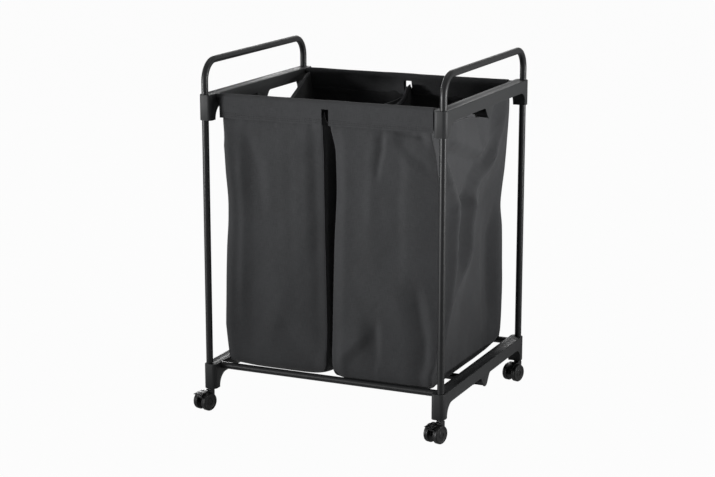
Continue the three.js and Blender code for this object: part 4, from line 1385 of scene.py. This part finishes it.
def hood_mesh(braked):
    meet = math.acos((HOOD_FRONT - TRAIL) / FENDER_OUT)
    web = rounded([(HOOD_FRONT, HOOD_TOP, 1.2 * MM), (-HOOD_FRONT, HOOD_TOP, 3 * MM),
                   (-HOOD_FRONT, 29 * MM, 0)])
    web += arc(AXLE, HUB_RADIUS, math.pi, FENDER_FROM + 2 * math.pi)
    web += arc(AXLE, FENDER_OUT, FENDER_FROM, meet)
    fender = arc(AXLE, FENDER_OUT, FENDER_FROM, FENDER_TO) + arc(
        AXLE, FENDER_IN, FENDER_TO, FENDER_FROM)
    body = cut(slab(web, HOOD_HALF), [slab(fender, FENDER_HALF)], "UNION")
    tools = [turned([(STEM_HOLE, HOLE_FOOT), (STEM_HOLE, HOOD_TOP + PAST)], 32),
             drill(AXLE_HOLE, FENDER_HALF * 2, AXLE)]
    if braked:
        far, low = TRAIL + FENDER_OUT + PAST, PIN[1] - PIN_ROOM
        for near, half in ((PIN[0] + PIN_ROOM, FENDER_HALF * 2), (PIN[0] - PIN_ROOM, SLOT_HALF)):
            room = [(far, low), (near, low), (near, HOOD_TOP + PAST), (far, HOOD_TOP + PAST)]
            tools.append(slab(room, half))
        tools.append(drill(PIN_HOLE, FENDER_HALF * 2, PIN, 16))
    return softened(cut(body, tools), 0.5 * MM, 3)


# %% Draw the brake levers
PAD_START = 25 * MM
PAD_END = 43 * MM
PAD_HALF = 10 * MM
PAD_SLOPE = 2.2 * MM
PAD_RIBS = 4
RIB_START = 29 * MM
RIB_PITCH = 2.8 * MM
RIB_WIDTH = 1 * MM
RIB_HALF = 8 * MM
ARM_HALF = 2.5 * MM


def lever_mesh():
    bottom, top = PIN[1] + 1.8 * MM, PIN[1] + 4.0 * MM
    flat = PAD_START + PAD_SLOPE
    pad = [(PAD_START, bottom), (PAD_END, bottom - 1.1 * MM), (PAD_END, bottom), (flat, top),
           (PAD_START, top)]
    ear, round_ear = 3.4 * MM, 3.1 * MM
    arm = rounded([(PIN[0] - ear, PIN[1] - ear, round_ear), (PIN[0] + ear, PIN[1] - ear, round_ear),
                   (flat, bottom, 0), (flat, top, 0), (PIN[0] - ear, top, 2.2 * MM)])
    ribs = []
    for i in range(PAD_RIBS):
        at = RIB_START + i * RIB_PITCH
        end = at + RIB_WIDTH
        high = top - (at - flat) * PAD_SLOPE / (PAD_END - flat)
        ribs.append(slab([(at, high - 1 * MM), (end, high - 1 * MM), (end, high + 0.05 * MM),
                          (at, high + 0.25 * MM)], RIB_HALF))
    body = cut(slab(pad, PAD_HALF), [slab(arm, ARM_HALF)] + ribs, "UNION")
    return softened(cut(body, [drill(PIN_HOLE, 12 * MM, PIN, 16)]), 0.3 * MM)


# %% Set the casters in place
CASTER_SIDES = 40
STEM = millimetres([(0, 27), (3.4, 27), (4, 27.6), (4, 44.3), (5.5, 44.3), (5.9, 44.7),
                    (5.9, 46.3), (5.5, 46.7), (4, 46.7), (4, 71), (3.2, 72), (0, 72)])
PLUG = millimetres([(4.3, 47), (7.1, 47), (7.5, 47.6), (7.5, 70.6), (6.8, 72), (4.3, 72),
                    (4.3, 47)])

for corner in CORNERS:
    at = middle(f"caster_stem_{corner}")
    place = Matrix.Translation((at.x, at.y, 0)) @ Matrix.Rotation(CASTER_TURN, 4, "Z")
    swivel, braked = f"caster_{corner}", corner.startswith("front")
    # New piece, CAD node, mesh, material and body
    parts = [("stem_turned", "caster_stem", turned(STEM, CASTER_SIDES), STEEL_WITH_PAINTED_SHADE, "frame"),
             ("plug_moulded", "caster_plug", turned(PLUG, CASTER_SIDES), NYLON, "frame"),
             ("hood_moulded", "caster_hood", hood_mesh(braked), NYLON, swivel),
             ("axle_turned", "caster_axle", pin_mesh(*AXLE_SIZE, AXLE), STEEL_WITH_PAINTED_SHADE, swivel)]
    for side, sign in (("left", -1), ("right", 1)):
        parts.append((f"wheel_moulded_{side}", f"wheel_{side}", wheel_mesh(sign), TREAD,
                      f"wheel_{side}_{corner}"))
    if braked:
        parts += [("pin_turned", "brake_pin", pin_mesh(*PIN_SIZE, PIN), STEEL_WITH_PAINTED_SHADE, swivel),
                  ("lever_moulded", "brake_lever", lever_mesh(), NYLON, f"brake_{corner}")]
    for name, cad_node, mesh, material, body in parts:
        mesh.transform(place)
        finished(f"{name}_{corner}", mesh, material, body,
                 [f"{cad_node}_{corner}"], sharp=34)
    print("caster", corner, "has", len(parts), "pieces")
